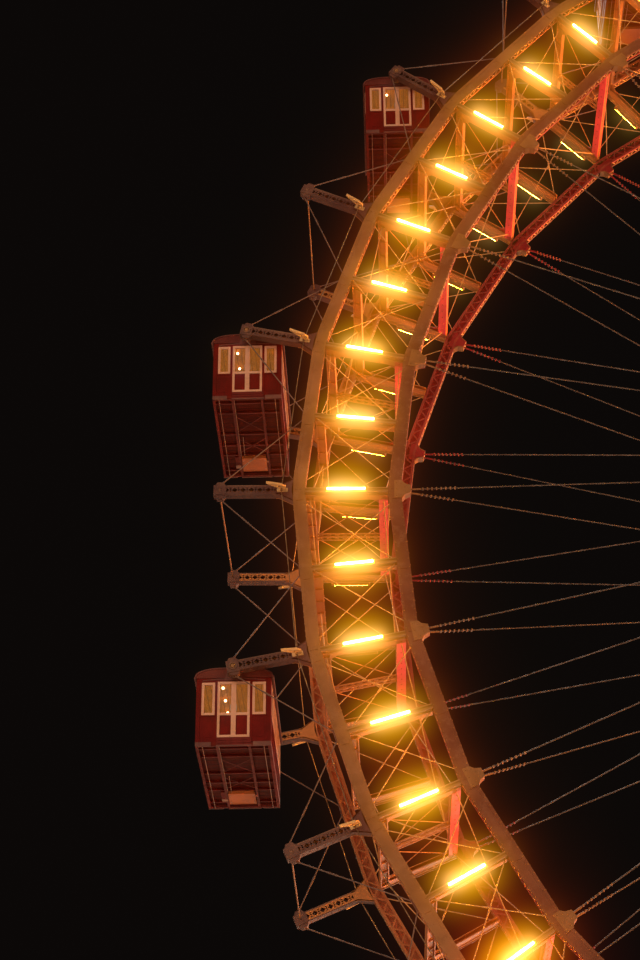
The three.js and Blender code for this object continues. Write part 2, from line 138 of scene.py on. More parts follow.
def colour(name, description, default):
    return bpy.props.FloatVectorProperty(name=name, description=description, default=default, subtype="COLOR", size=3,
                                         min=0.0, max=1.0)


def strength(name, description, default):
    return bpy.props.FloatProperty(name=name, description=description, default=default, min=0.0)


class FERRIS_PG_sizes(bpy.types.PropertyGroup):
    """Thicknesses of the thin members, at full size."""
    rod: length("Brace rod", "Radius of the crossed rods in the rings", 0.018)
    tie: length("Arm tie", "Radius of the tie rods of the arms", 0.020)
    cable: length("Spoke cable", "Radius of a spoke cable", 0.022)
    rope: length("Drive rope", "Radius of the drive rope", 0.017)
    rivet: length("Rivet", "Radius of a rivet head", 0.026)
    lacing: length("Lacing bar", "Width of a lacing bar", 0.05)
    tube: length("Lamp tube", "Radius of a lamp tube", 0.044)
    bulb: length("Cabin bulb", "Radius of a bulb under a cabin's ceiling", 0.042)
    bar: length("Window bar", "Width of a window frame's members", 0.075)


class FERRIS_PG_colours(bpy.types.PropertyGroup):
    """Paints and lights."""
    rim: colour("Rim paint", "Dusty paint of the rings", (0.235, 0.102, 0.026))
    inner: colour("Inner chord face", "Darker red-brown of the inner chords' faces", (0.145, 0.041, 0.013))
    arm: colour("Arm paint", "Duller paint of the arms", (0.086, 0.031, 0.026))
    cross: colour("Cross iron paint", "Orange-brown paint of the frames between the rings", (0.42, 0.155, 0.040))
    # Painted red light: the inner chord red stands in for red floodlight on the backs of the chords, the gussets' back
    # plates, the inner cross beams and the far cables' clamps.
    chord: colour("Inner chord paint", "Red paint on the backs of the inner chords", (0.26, 0.0125, 0.017))
    # Painted red light: the bright cross beam red stands in for floodlight on the inner cross beams' sides.
    beam: colour("Cross beam paint", "Bright red of the cross beams between the inner chords", (0.85, 0.085, 0.13))
    tower: colour("Tower paint", "Paint of the towers", (0.24, 0.11, 0.055))
    steel: colour("Wire", "Steel of the cables", (0.20, 0.15, 0.12))
    axle: colour("Axle steel", "Turned steel of the axle", (0.33, 0.31, 0.29))
    guide: colour("Rope guide paint", "Pale paint of the rope guides", (0.66, 0.42, 0.18))
    cabin: colour("Cabin paint", "Red of the cabins' walls", (0.110, 0.0034, 0.0020))
    under: colour("Underframe paint", "Brown-red below the cabins' floors", (0.120, 0.0085, 0.0035))
    trim: colour("Edge trim", "Paler edging of roof and sills", (0.125, 0.038, 0.033))
    roof: colour("Roof paint", "Weathered red of the cabins' roofs", (0.105, 0.011, 0.009))
    joinery: colour("Joinery paint", "Old white of the doors and window frames", (0.52, 0.28, 0.185))
    # The lining colour also glows from the cabins' boards as painted lamplight.
    lining: colour("Cabin lining", "Varnished boards inside the cabins", (0.42, 0.15, 0.016))
    locker: colour("Locker paint", "Ochre of the box below each floor", (0.50, 0.135, 0.034))
    light: colour("Lamp light", "Colour of the lit tubes and bulbs", (1.0, 0.40, 0.013))
    floor: colour("Floor", "Plain pale floor of the studio", (0.62, 0.60, 0.57))
    backdrop: colour("Backdrop", "Plain surround of the studio", (0.0034, 0.0025, 0.0022))


class FERRIS_PG_studio(bpy.types.PropertyGroup):
    """Lights of the stage and of the wheel."""
    key: strength("Key light", "Strength of the main soft sun", 1.25)
    fill: strength("Fill light", "Strength of the softer sun from the front", 0.35)
    top: strength("Top light", "Strength of the pale sun from above and behind", 1.1)
    side: strength("Side light", "Strength of the amber sun from the hub's side", 15.0)
    low: strength("Low light", "Power of each wide light near the floor", 2600.0)
    tubes: strength("Tube strength", "Emission of the lamp tubes", 105.0)
    halo: strength("Halo", "Strength of the glow round the lamps", 1.0)


# Places and directions

def unit(vectors):
    return vectors / np.linalg.norm(vectors, axis=-1, keepdims=True)


def pair(a, b):
    return np.broadcast_arrays(np.atleast_2d(a).astype(float), np.atleast_2d(b).astype(float))


def beside(directions):
    """A rough side for each direction: x where it runs along y, and y otherwise."""
    return np.where(np.abs(directions[:, 1:2]) > 0.9, X, Y)


def circle(sides):
    angle = 2 * math.pi * (np.arange(sides) + 0.5) / sides
    return np.stack([np.cos(angle), np.sin(angle)], -1)


def on_wheel(arm, along, across=0.0, y=0.0):
    """Points from the hub: so far along an arm, across it, and along the axle."""
    arm, along, across, y = np.broadcast_arrays(*(np.asarray(value, float) for value in (arm, along, across, y)))
    angle = ARM_ZERO + arm * ARM_STEP
    c, s = np.cos(angle), np.sin(angle)
    return np.stack([along * c - across * s, y, along * s + across * c], -1)


def on_chord(arm, radius):
    """Distance from the hub, towards an arm number, to a thirty-sided loop with this radius at its corners."""
    return radius * HALF_BAY / np.cos(ARM_STEP / 2 - (np.asarray(arm, float) % 1.0) * ARM_STEP)


def outward(arm):
    return on_wheel(arm, 1.0)


def sideways(arm):
    return on_wheel(arm, 0.0, 1.0)


def spread(per_bay):
    """Arm numbers of places in the middles of equal shares of every bay."""
    return (np.arange(ARM_COUNT * per_bay) + 0.5) / per_bay


def lacing(first, second, bays, crossed=True):
    """Ends of lacing bars between two rails, each given by its two ends: a bar from one rail at share n to the other at
    n + 1, and back again where they are crossed. Without crossing the bars run to and fro."""
    share = np.linspace(0, 1, bays + 1)[:, None]
    p, q = (rail[0][:, None] + (rail[1] - rail[0])[:, None] * share for rail in (first, second))
    if crossed:
        a, b = np.concatenate([p[:, :-1], q[:, :-1]], 1), np.concatenate([q[:, 1:], p[:, 1:]], 1)
    else:
        even = (np.arange(bays) % 2 == 0)[:, None]
        a, b = np.where(even, p[:, :-1], q[:, :-1]), np.where(even, q[:, 1:], p[:, 1:])
    return a.reshape(-1, 3), b.reshape(-1, 3)


# Meshes: closed shells on grids of points

class Solids:
    """Closed shells, gathered into one mesh. Each is a profile carried along a path, as a grid of points over
    (copy, place along the path, place round the profile). The side is -1 near the viewer and 1 away from them."""

    def __init__(self, side=1):
        self.side, self.out = side, side * Y
        self.points, self.strands, self.corners, self.counts, self.finishes, self.smooth = ([] for _ in range(6))

    def at(self, arm, along, across=0.0, depth=RING_MIDDLE):
        """Points on the wheel, so far from its middle plane towards this side."""
        return on_wheel(arm, along, across, self.side * depth)

    def skin(self, grid, finish, closed=False, smooth=False, mirror="", strand=None):
        """Neighbouring points of the grid are joined by four-sided faces, round the profile and along the path, and an
        open path is closed by its first and last profile. A copy that encloses a negative volume has its faces turned.
        The volume is the sum of a . (b x c) over the triangles of every face, from the copy's middle."""
        grid = grid[None] if grid.ndim == 3 else grid
        for axis in mirror:
            grid = np.concatenate([grid, grid * np.where(np.arange(3) == "xyz".index(axis), -1.0, 1.0)])
        index = np.arange(grid[..., 0].size).reshape(grid.shape[:3])
        ahead = np.roll(index, -1, 1) if closed else index[:, 1:]
        here = index if closed else index[:, :-1]
        quads = np.stack([here, np.roll(here, -1, 2), np.roll(ahead, -1, 2), ahead], -1).reshape(len(grid), -1, 4)
        shells = [quads] if closed else [quads, index[:, :1, ::-1], index[:, -1:]]
        flat = (grid - grid.mean((1, 2), keepdims=True)).reshape(-1, 3)
        cones = [flat[faces[..., :1]] * np.cross(flat[faces[..., 1:-1]], flat[faces[..., 2:]]) for faces in shells]
        turned = sum(cone.sum((1, 2, 3)) for cone in cones)[:, None, None] < 0
        first = sum(map(len, self.points))
        for number, faces in enumerate(shells):
            faces = np.where(turned, faces[..., ::-1], faces).reshape(-1, faces.shape[-1])
            self.corners.append(faces.ravel() + first)
            self.counts.append(np.full(*faces.shape))
            self.finishes.append((finish, len(faces)))
            self.smooth.append(np.full(len(faces), smooth and number == 0))
        self.points.append(grid.reshape(-1, 3))
        self.strands.append(np.broadcast_to(np.zeros(3) if strand is None else strand, grid.shape).reshape(-1, 3))

    def carry(self, outline, a, b, side, finish, smooth=False, mirror="", strand=None):
        """Straight members: an outline in (towards side, square to it) is carried from each point a to each point b."""
        a, b = pair(a, b)
        along = unit(b - a)
        first = unit(side - np.sum(side * along, -1, keepdims=True) * along)
        across, up = np.asarray(outline, float).T[..., None]
        section = first[:, None] * across + np.cross(along, first)[:, None] * up
        self.skin(np.stack([a[:, None] + section, b[:, None] + section], 1), finish, False, smooth, mirror, strand)

    def bars(self, a, b, wide, deep, side, finish, mirror=""):
        """Flat bars: wide towards side, deep square to it."""
        self.carry(SQUARE * (wide, deep), a, b, side, finish, mirror=mirror)

    def strips(self, ends, wide, deep, normal, finish):
        """Lacing bars that lie flat on a face, whose normal is given once or for equal shares of the bars."""
        a, b = ends
        normal = np.repeat(np.atleast_2d(normal), len(a) // len(np.atleast_2d(normal)), 0)
        self.bars(a, b, wide, deep, np.cross(unit(b - a), normal), finish)

    def rods(self, a, b, radius, finish, wound=False):
        """Round rods. Each point of a wound one is marked with the cosine and sine of its place round the rod and its
        distance along it."""
        a, b = pair(a, b)
        ring, marks = circle(6), None
        if wound:
            marks = np.zeros((len(a), 2, 6, 3))
            marks[..., :2] = ring
            marks[:, 1, :, 2] = np.linalg.norm(b - a, axis=-1)[:, None]
        self.carry(ring * radius, a, b, beside(unit(b - a)), finish, True, "", marks)

    def blocks(self, rows, finish, mirror=""):
        """Square blocks: each row holds a low corner, then a high one."""
        rows = np.array(rows, float).reshape(-1, 2, 1, 1, 3)
        self.skin(rows[:, 0] + CUBE * (rows[:, 1] - rows[:, 0]), finish, mirror=mirror)

    def plates(self, outline, place, side, along, thick, finish, mirror=""):
        """Flat plates: an outline in (towards side, along), which are square to each other, from each place."""
        square = np.cross(along, side) * (thick / 2)
        self.carry(np.array(outline) * (1, -1), place - square, place + square, side, finish, mirror=mirror)

    def studs(self, places, normal, radius, finish, height=0.6, sides=5, mirror=""):
        """Rivet and bolt heads: a ring of points on the surface and a smaller one raised by height radii."""
        places, normal = np.broadcast_arrays(np.asarray(places, float), np.asarray(normal, float))
        places, normal = places.reshape(-1, 1, 3), unit(normal.reshape(-1, 3))
        first = unit(np.cross(normal, beside(normal)))
        across, up = circle(sides).T[..., None] * radius
        flat = first[:, None] * across + np.cross(normal, first)[:, None] * up
        rise = normal[:, None] * (radius * height)
        self.skin(np.stack([places + flat, places + flat * 0.62 + rise], 1), finish, mirror=mirror)

    def turned(self, profile, sides, finish, mirror=""):
        """A turned piece on the line y: circles of each profile radius at each profile y, joined in order."""
        radius, y = np.array(profile, float).T[..., None]
        x, z = circle(sides).T
        self.skin(np.stack([radius * x, y + 0 * x, radius * z], -1), finish, smooth=True, mirror=mirror)

    def eyes(self, profile, centre, angle, hole, reach, finish, turn=0.0, smooth=False):
        """Rings round lines along y: a profile of (0 at the hole to 1 at the reach of each angle, y) carried round."""
        share, y = np.array(profile, float).T
        radius = hole + (reach[:, None] - hole) * share
        way = (np.reshape(turn, (-1, 1)) + angle)[..., None]
        grid = np.stack(np.broadcast_arrays(radius * np.cos(way), y, radius * np.sin(way)), -1)
        self.skin(np.atleast_2d(centre)[:, None, None] + grid, finish, closed=True, smooth=smooth)


def make_piece(name, solids, body, origin, stands_for):
    """One object at the origin, with its place in its mesh, that rides on a body."""
    mesh = bpy.data.meshes.new(name)
    points = np.concatenate(solids.points) * SCALE + np.asarray(origin)
    corners, counts = np.concatenate(solids.corners), np.concatenate(solids.counts)
    finishes = list(dict.fromkeys(finish for finish, _ in solids.finishes))
    numbers = np.concatenate([np.full(count, finishes.index(finish)) for finish, count in solids.finishes])
    mesh.vertices.add(len(points))
    mesh.vertices.foreach_set("co", points.astype(np.float32).ravel())
    mesh.loops.add(len(corners))
    mesh.loops.foreach_set("vertex_index", corners.astype(np.int32))
    mesh.polygons.add(len(counts))
    mesh.polygons.foreach_set("loop_start", (np.cumsum(counts) - counts).astype(np.int32))
    mesh.polygons.foreach_set("use_smooth", np.concatenate(solids.smooth))
    for finish in finishes:
        mesh.materials.append(material(finish))
    mesh.polygons.foreach_set("material_index", numbers.astype(np.int32))
    strands = np.concatenate(solids.strands)
    if strands.any():
        attribute = mesh.attributes.new("strand", "FLOAT_VECTOR", "POINT")
        attribute.data.foreach_set("vector", strands.astype(np.float32).ravel())
    mesh.update(calc_edges=True)
    mesh.validate()
    mesh.set_sharp_from_angle(angle=math.radians(62))
    piece = bpy.data.objects.new(name, mesh)
    bpy.context.scene.collection.objects.link(piece)
    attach(piece, body)
    if stands_for:
        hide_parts(*stands_for)


# Finishes

class Shade:
    """A socket in a node tree. Arithmetic on it adds Math nodes, and node() adds any other node."""

    def __init__(self, tree, socket=None):
        self.tree, self.socket = tree, socket

    def node(self, kind, sockets=None, output=0, **settings):
        """Adds a node of this type: its settings first, then the values or links of its sockets."""
        made = self.tree.nodes.new(kind)
        for name, value in settings.items():
            setattr(made, name, value)
        for name, value in (sockets or {}).items():
            if isinstance(value, Shade):
                self.tree.links.new(value.socket, made.inputs[name])
            else:
                made.inputs[name].default_value = value
        return Shade(self.tree, made.outputs[output] if made.outputs else None)

    def other(self, name):
        """Another output of the same node."""
        return Shade(self.tree, self.socket.node.outputs[name])

    def parts(self):
        """The x, y and z of this vector."""
        split = self.node("ShaderNodeSeparateXYZ", {"Vector": self})
        return [split.other(n) for n in range(3)]

    def math(self, operation, *values):
        return self.node("ShaderNodeMath", dict(enumerate(values)), operation=operation)

    def __add__(self, other):
        return self.math("ADD", self, other)

    def __mul__(self, other):
        return self.math("MULTIPLY", self, other)

    def __sub__(self, other):
        return self.math("SUBTRACT", self, other)

    def between(self, low, high):
        """0 below low, 1 above high, and smooth in between."""
        return self.node("ShaderNodeMapRange", {"Value": self, "From Min": low, "From Max": high},
                         interpolation_type="SMOOTHSTEP")

    def mix(self, colour_a, colour_b):
        """This value blends one colour into the other."""
        return self.node("ShaderNodeMix", {0: self, 6: colour_a, 7: colour_b}, output=2, data_type="RGBA")

    def place(self):
        """The piece's own coordinates."""
        return self.node("ShaderNodeTexCoord", output="Object")

    def noise(self, scale, detail=3.0, roughness=0.55, stretch=(1.0, 1.0, 1.0)):
        """Cloudy pattern on the piece's own coordinates, stretched along its axes."""
        place = self.node("ShaderNodeMapping", {"Vector": self.place(), "Scale": stretch})
        return self.node("ShaderNodeTexNoise",
                         {"Vector": place, "Scale": scale, "Detail": detail, "Roughness": roughness})

    def bump(self, height, depth):
        """A normal from a height pattern, with its full depth in metres."""
        return self.node("ShaderNodeBump", {"Height": height, "Distance": depth, "Strength": 1.0})


def tint(paint, strength=1.0):
    return tuple(min(1.0, part * strength) for part in paint) + (1.0,)


def blend(a, b, share):
    return tuple(p + (q - p) * share for p, q in zip(a, b))


def coat(base, rough, normal, specular=0.5, metallic=0.0, **others):
    return {"Base Color": base, "Roughness": rough, "Normal": normal, "Specular IOR Level": specular,
            "Metallic": metallic, **others}


RUST = (0.10, 0.030, 0.012)
DUST = (0.36, 0.20, 0.11)
SOOT = (0.022, 0.014, 0.010)
BLACK, WHITE = (0.0, 0.0, 0.0), (1.0, 1.0, 1.0)


def painted_iron(shade, paint, dusty, worn):
    """Old brushed paint: patches of fading, pale dust, dark run marks, and chips down to rust."""
    broad = shade.noise(1.1, 3.0)
    patch = shade.noise(5.5, 5.0, 0.62)
    grain = shade.noise(46.0, 4.0, 0.6)
    base = broad.between(0.3, 0.72).mix(tint(paint, 0.74), tint(blend(paint, DUST, 0.25 * dusty), 1.12))
    base = (patch.between(0.5, 0.72) * (0.55 * dusty)).mix(base, tint(blend(paint, DUST, 0.62)))
    grime = shade.noise(2.6, 6.0, 0.7).between(0.55, 0.75) * 0.5
    base = grime.mix(base, tint(blend(paint, SOOT, 0.72)))
    chips = (patch * 0.55 + grain * 0.45).between(0.60 - 0.02 * worn, 0.66)
    base = (chips * min(1.0, worn + 0.25)).mix(base, tint(RUST))
    return coat(base, patch * 0.25 + chips * 0.25 + 0.34, shade.bump(grain - chips * 0.8, 0.0016), 0.2)


def wire(shade, steel):
    """Stranded wire: ridges that wind round the rod, as the sine of the place round it and the distance along it."""
    c, s, along = shade.node("ShaderNodeAttribute", output="Vector", attribute_name="strand").parts()
    ridge = shade.math("SINE", shade.math("ARCTAN2", s, c) * 6.0 + along * 9.0) * 0.5 + 0.5
    dirt = shade.noise(7.0, 4.0).between(0.35, 0.7)
    base = ridge.mix(tint(blend(steel, SOOT, 0.75)), tint(steel, 1.15))
    base = (dirt * 0.55).mix(base, tint(blend(steel, RUST, 0.55), 0.8))
    return coat(base, dirt * 0.3 + 0.35, shade.bump(ridge, 0.004), metallic=0.55)


def turned_steel(shade, steel):
    """Turned and oiled steel: fine rings along the axle under a stained film."""
    rings = shade.math("SINE", shade.place().parts()[1] * 900.0) * 0.5 + 0.5
    stain = shade.noise(6.0, 5.0).between(0.4, 0.7)
    base = (stain * 0.6).mix(tint(steel), tint(blend(steel, RUST, 0.45), 0.6))
    return coat(base, stain * 0.3 + 0.24, shade.bump(rings * 0.3 + stain, 0.0006), metallic=0.85)


def coach_paint(shade, paint):
    """Coach paint in thick even coats: slow fading, fine dirt, streaks that run down, and a thin gloss."""
    streak = shade.noise(9.0, 5.0, 0.6, (1.0, 1.0, 0.12)).between(0.46, 0.72)
    fleck = shade.noise(60.0, 4.0, 0.65)
    base = shade.noise(1.7, 3.0).between(0.3, 0.7).mix(tint(paint, 0.78), tint(paint, 1.3))
    base = (streak * 0.42).mix(base, tint(blend(paint, SOOT, 0.6)))
    base = (fleck.between(0.64, 0.76) * 0.4).mix(base, tint(blend(paint, DUST, 0.2)))
    dents = shade.bump(fleck * 0.3 + shade.noise(3.0, 2.0), 0.0012)
    return coat(base, streak * 0.22 + fleck * 0.12 + 0.38, dents, 0.08)


def roof_sheet(shade, paint):
    """Painted roof sheet: rain streaks across the vault, pale bloom and lifted flakes."""
    streak = shade.noise(7.0, 5.0, 0.6, (0.25, 1.0, 0.25))
    flake = shade.noise(28.0, 5.0, 0.65).between(0.58, 0.66)
    base = streak.between(0.35, 0.68).mix(tint(paint, 0.75), tint(blend(paint, DUST, 0.06), 1.15))
    base = (flake * 0.6).mix(base, tint(blend(paint, RUST, 0.5), 0.7))
    return coat(base, streak * 0.25 + flake * 0.2 + 0.4, shade.bump(streak * 0.6 - flake * 0.5, 0.002), 0.15)


def gloss_paint(shade, paint):
    """Brushed gloss on old wood: fine strokes, yellowed patches and dirt in the grain."""
    stroke = shade.noise(70.0, 3.0, 0.6, (1.0, 1.0, 0.06))
    age = shade.noise(3.2, 4.0).between(0.38, 0.7)
    dirt = shade.noise(24.0, 5.0, 0.7).between(0.56, 0.7)
    base = (age * 0.6).mix(tint(paint, 1.12), tint((paint[0], paint[1] * 0.86, paint[2] * 0.66)))
    base = (dirt * 0.5).mix(base, tint(blend(paint, SOOT, 0.55)))
    return coat(base, dirt * 0.3 + 0.32, shade.bump(stroke + age * 0.5, 0.0012), 0.3)


def boards(shade, wood, pitch, axis, glow=0.0):
    """Narrow boards laid side by side: a dark groove each pitch, and grain that runs along them. With a glow, the
    boards also give off their own colour as painted lamplight, though they are no lamp.
    """
    saw = shade.math("FRACT", shade.place().parts()[axis] * (1.0 / pitch))
    groove = shade.math("ABSOLUTE", saw - 0.5).between(0.42, 0.49)
    grain = shade.noise(60.0, 5.0, 0.6, tuple(1.0 if n == axis else 0.1 for n in range(3)))
    base = grain.between(0.3, 0.7).mix(tint(wood, 0.7), tint(wood, 1.15))
    base = (shade.noise(4.0, 2.0).between(0.35, 0.65) * 0.4).mix(base, tint(blend(wood, RUST, 0.35)))
    base = (groove * 0.8).mix(base, tint(wood, 0.18))
    # Painted lamplight: with a glow, the boards' colour is also given off as light.
    lit = {"Emission Color": base, "Emission Strength": glow} if glow else {}
    return coat(base, grain * 0.25 + 0.32, shade.bump(grain * 0.3 - groove, 0.002), 0.03, **lit)


def pane_glass(shade, paint):
    """Thin clear panes with patches of dust and a faint waviness."""
    dust = shade.noise(10.0, 5.0, 0.65).between(0.42, 0.75)
    return coat(dust.mix(tint(paint, 0.5), tint(DUST)), dust * 0.25 + 0.03, shade.bump(shade.noise(5.0, 2.0), 0.003),
                Alpha=dust * 0.05 + 0.03)


def lit_glass(shade, light, power=None):
    """Lit glass, a little uneven. Without a power it has that of the studio's tubes."""
    glow = shade.noise(9.0, 3.0).between(0.3, 0.7).mix(tint(light), tint(blend(light, WHITE, 0.04)))
    power = power or bpy.context.scene.ferris_studio.tubes
    return {"Base Color": glow, "Roughness": 0.3, "Metallic": 0.0, "Emission Color": glow, "Emission Strength": power}


def matt_floor(shade, paint):
    """Pale matt floor with the faintest cloudiness."""
    cloud = shade.noise(0.35, 4.0)
    base = cloud.between(0.3, 0.7).mix(tint(paint, 0.96), tint(paint, 1.03))
    return coat(base, cloud * 0.1 + 0.7, shade.bump(shade.noise(20.0, 3.0), 0.002))


# Each finish: its recipe, its paint and the recipe's other values. A paint is the name of a setting, a colour, or two
# paints with the second's share
FINISHES = {
    "rim_paint": (painted_iron, "rim", 0.7, 0.4),
    "rim_edge": (painted_iron, ("rim", DUST, 0.2), 0.8, 0.3),
    "inner_paint": (painted_iron, "inner", 0.6, 0.4),
    "rod_paint": (painted_iron, ("rim", "guide", 0.5), 0.2, 0.2),
    "tie_paint": (painted_iron, ("arm", "steel", 0.5), 0.3, 0.3),
    "arm_paint": (painted_iron, "arm", 0.5, 0.4),
    "arm_edge": (painted_iron, ("arm", DUST, 0.15), 0.7, 0.3),
    "cross_paint": (painted_iron, "cross", 0.35, 0.5),
    "cross_edge": (painted_iron, ("cross", DUST, 0.25), 0.5, 0.4),
    # Painted red light: the chord finishes are the inner chord red, the back finishes give the cross iron's paint a
    # share of it, and the beam finish is the cross beam red; all stand in for red floodlight.
    "back_paint": (painted_iron, ("cross", "chord", 0.45), 0.2, 0.4),
    "back_edge": (painted_iron, ("cross", "chord", 0.3), 0.5, 0.4),
    "chord_paint": (painted_iron, "chord", 0.1, 0.4),
    "chord_edge": (painted_iron, ("chord", DUST, 0.12), 0.3, 0.3),
    "beam_paint": (painted_iron, "beam", 0.1, 0.3),
    "tower_paint": (painted_iron, "tower", 0.6, 0.6),
    "guide_paint": (painted_iron, "guide", 0.2, 0.5),
    "pipe_paint": (painted_iron, ("trim", "joinery", 0.5), 0.2, 0.3),
    "roof_edge": (painted_iron, ("roof", "trim", 0.5), 0.3, 0.3),
    "trim_paint": (painted_iron, "trim", 0.5, 0.3),
    "locker_paint": (painted_iron, "locker", 0.3, 0.3),
    "cable_wire": (wire, "steel"),
    "rope_wire": (wire, ("steel", "guide", 0.35)),
    "axle_steel": (turned_steel, "axle"),
    "cabin_paint": (coach_paint, "cabin"),
    "under_paint": (coach_paint, "under"),
    "under_edge": (coach_paint, ("under", "trim", 0.4)),
    "step_paint": (coach_paint, ("cabin", "trim", 0.3)),
    "roof_paint": (roof_sheet, "roof"),
    "joinery_paint": (gloss_paint, "joinery"),
    # Painted lamplight: the cabin lining's boards glow with their own colour, though they are no lamp.
    "cabin_lining": (boards, "lining", 0.08, 0, 0.42),
    "floor_boards": (boards, (0.16, 0.09, 0.05), 0.07, 0),
    "under_boards": (boards, ("under", BLACK, 0.4), 0.15, 1),
    "window_glass": (pane_glass, (0.8, 0.7, 0.55)),
    "tube_glass": (lit_glass, "light"),
    "bulb_glass": (lit_glass, ("light", WHITE, 0.2), 12.0),
    "studio_floor": (matt_floor, "floor"),
}


def paint_of(named):
    if isinstance(named, str):
        return tuple(getattr(bpy.context.scene.ferris_colours, named))
    return named if isinstance(named[0], float) else blend(paint_of(named[0]), paint_of(named[1]), named[2])


def material(name):
    """The finish of this name, made when it is first asked for."""
    made = bpy.data.materials.get(name)
    if not made:
        made = bpy.data.materials.new(name)
        made.use_nodes = True
        made.node_tree.nodes.clear()
        shade = Shade(made.node_tree)
        recipe, named, *values = FINISHES[name]
        surface = shade.node("ShaderNodeBsdfPrincipled", recipe(shade, paint_of(named), *values))
        shade.node("ShaderNodeOutputMaterial", {"Surface": surface})
    return made


# Rings

def ring(iron, sizes):
    """Two thirty-sided chords, each a channel carried from arm to arm round the wheel and laced across its back, with
    joint plates, rivets, posts and crossed rods."""
    def zigzag(per_bay, low, high, wide, normal, finish):
        arm = np.arange(ARM_COUNT * per_bay) / per_bay
        radius, depth = (np.where(np.arange(len(arm)) % 2, b, a) for a, b in zip(low, high))
        start = iron.at(arm, on_chord(arm, radius), 0.0, RING_BACK + depth)
        iron.strips((start, np.roll(start, -1, 0)), wide, LACE, outward(arm) if normal is None else normal, finish)

    # Painted red light: the lining, angles and back lacing take the back finishes on the outer chord and the chord
    # finishes on the inner one, whose red stands in for floodlight.
    chords = ((OUTER_FOOT, OUTER_TOP, "back", "rim_paint"), (INNER_FOOT, INNER_TOP, "chord", "inner_paint"))
    for foot, top, back, paint in chords:
        middle = (foot + top) / 2
        outlines = ((CHORD_CHANNEL, middle, 1, paint), (CHORD_LINING, middle, 1, f"{back}_paint"),
                    (CHORD_ANGLE, foot, 1, f"{back}_edge"), (CHORD_ANGLE, top, -1, f"{back}_edge"))
        for outline, radius, up, finish in outlines:
            rise, depth = np.array(outline).T
            iron.skin(iron.at(ARMS[:, None], radius + up * rise, 0.0, RING_BACK + depth), finish, closed=True)
        for edge in (foot + LACE, top - LACE):
            zigzag(28, (edge, 0.03), (edge, 0.27), sizes.lacing * 0.9, None, "rod_paint")
        zigzag(20, (foot + 0.05, LACE), (top - 0.05, LACE), sizes.lacing, iron.out, f"{back}_edge")
        for edge, up in ((foot, -1), (top, 1)):
            rivet, place = spread(17), spread(12)
            seat = iron.at(rivet, on_chord(rivet, edge - up * 0.04), 0.0, RING_FACE)
            iron.studs(seat, iron.out, sizes.rivet, "rim_paint")
            seat = iron.at(place, on_chord(place, edge), 0.0, RING_FACE - 0.05)
            iron.studs(seat, outward(place) * up, sizes.rivet, "rim_edge")
    for radius, tall, half, paint in ((OUTER_CHORD, 0.25, 0.4, "rim_paint"), (INNER_CHORD, 0.22, 0.35, "inner_paint")):
        for hand in HANDS:
            a, b = (iron.at(arm, on_chord(arm, radius), 0.0, RING_FACE - 0.006)
                    for arm in (POSTS, POSTS + hand * JOINT_STEP))
            iron.bars(a, a + unit(b - a) * half, 0.024, tall, iron.out, paint)
    posts(iron, sizes)


def posts(iron, sizes):
    """A radial post at each arm and midway: four angles round a plate, with single lacing on its back, and in each bay
    two rods that cross from chord to chord."""
    def upright(across, depth):
        return [iron.at(POSTS, on_chord(POSTS, radius), across, depth) for radius in (INNER_TOP, OUTER_FOOT)]

    back, front = RING_BACK + 0.03, RING_FACE - 0.03
    for hand in HANDS:
        for depth, finish in ((back, "cross_edge"), (front, "rim_edge")):
            iron.bars(*upright(hand * POST_EDGE, depth), 0.045, 0.045, iron.out, finish)
        iron.bars(*upright(hand * 0.05, RING_MIDDLE), 0.24, LACE, iron.out, "rim_paint")
    iron.bars(*upright(0.0, front - 0.03), 0.02, 0.11, iron.out, "rim_paint")
    ends = lacing(upright(-POST_EDGE, back), upright(POST_EDGE, back), 11, crossed=False)
    iron.strips(ends, sizes.lacing * 0.6, LACE, iron.out, "cross_edge")
    at_arm, after = (POSTS % 1 == 0).astype(float), POSTS + 0.5
    drop = HALF_SLOPE * ROD_SPREAD
    levels = (OUTER_FOOT + 0.02, INNER_TOP - 0.02)
    for first, second, shift in ((*levels, -0.03), (*levels[::-1], 0.03)):
        depth = RING_MIDDLE + iron.side * shift
        a = iron.at(POSTS, on_chord(POSTS, first) - at_arm * drop, at_arm * ROD_SPREAD, depth)
        b = iron.at(after, on_chord(after, second) - (1 - at_arm) * drop, (at_arm - 1) * ROD_SPREAD, depth)
        middle, reach = (a + b) / 2, unit(b - a) * 0.12
        iron.rods(a, b, sizes.rod, "rod_paint")
        iron.rods(middle - reach, middle + reach, sizes.rod * 1.5, "rod_paint")


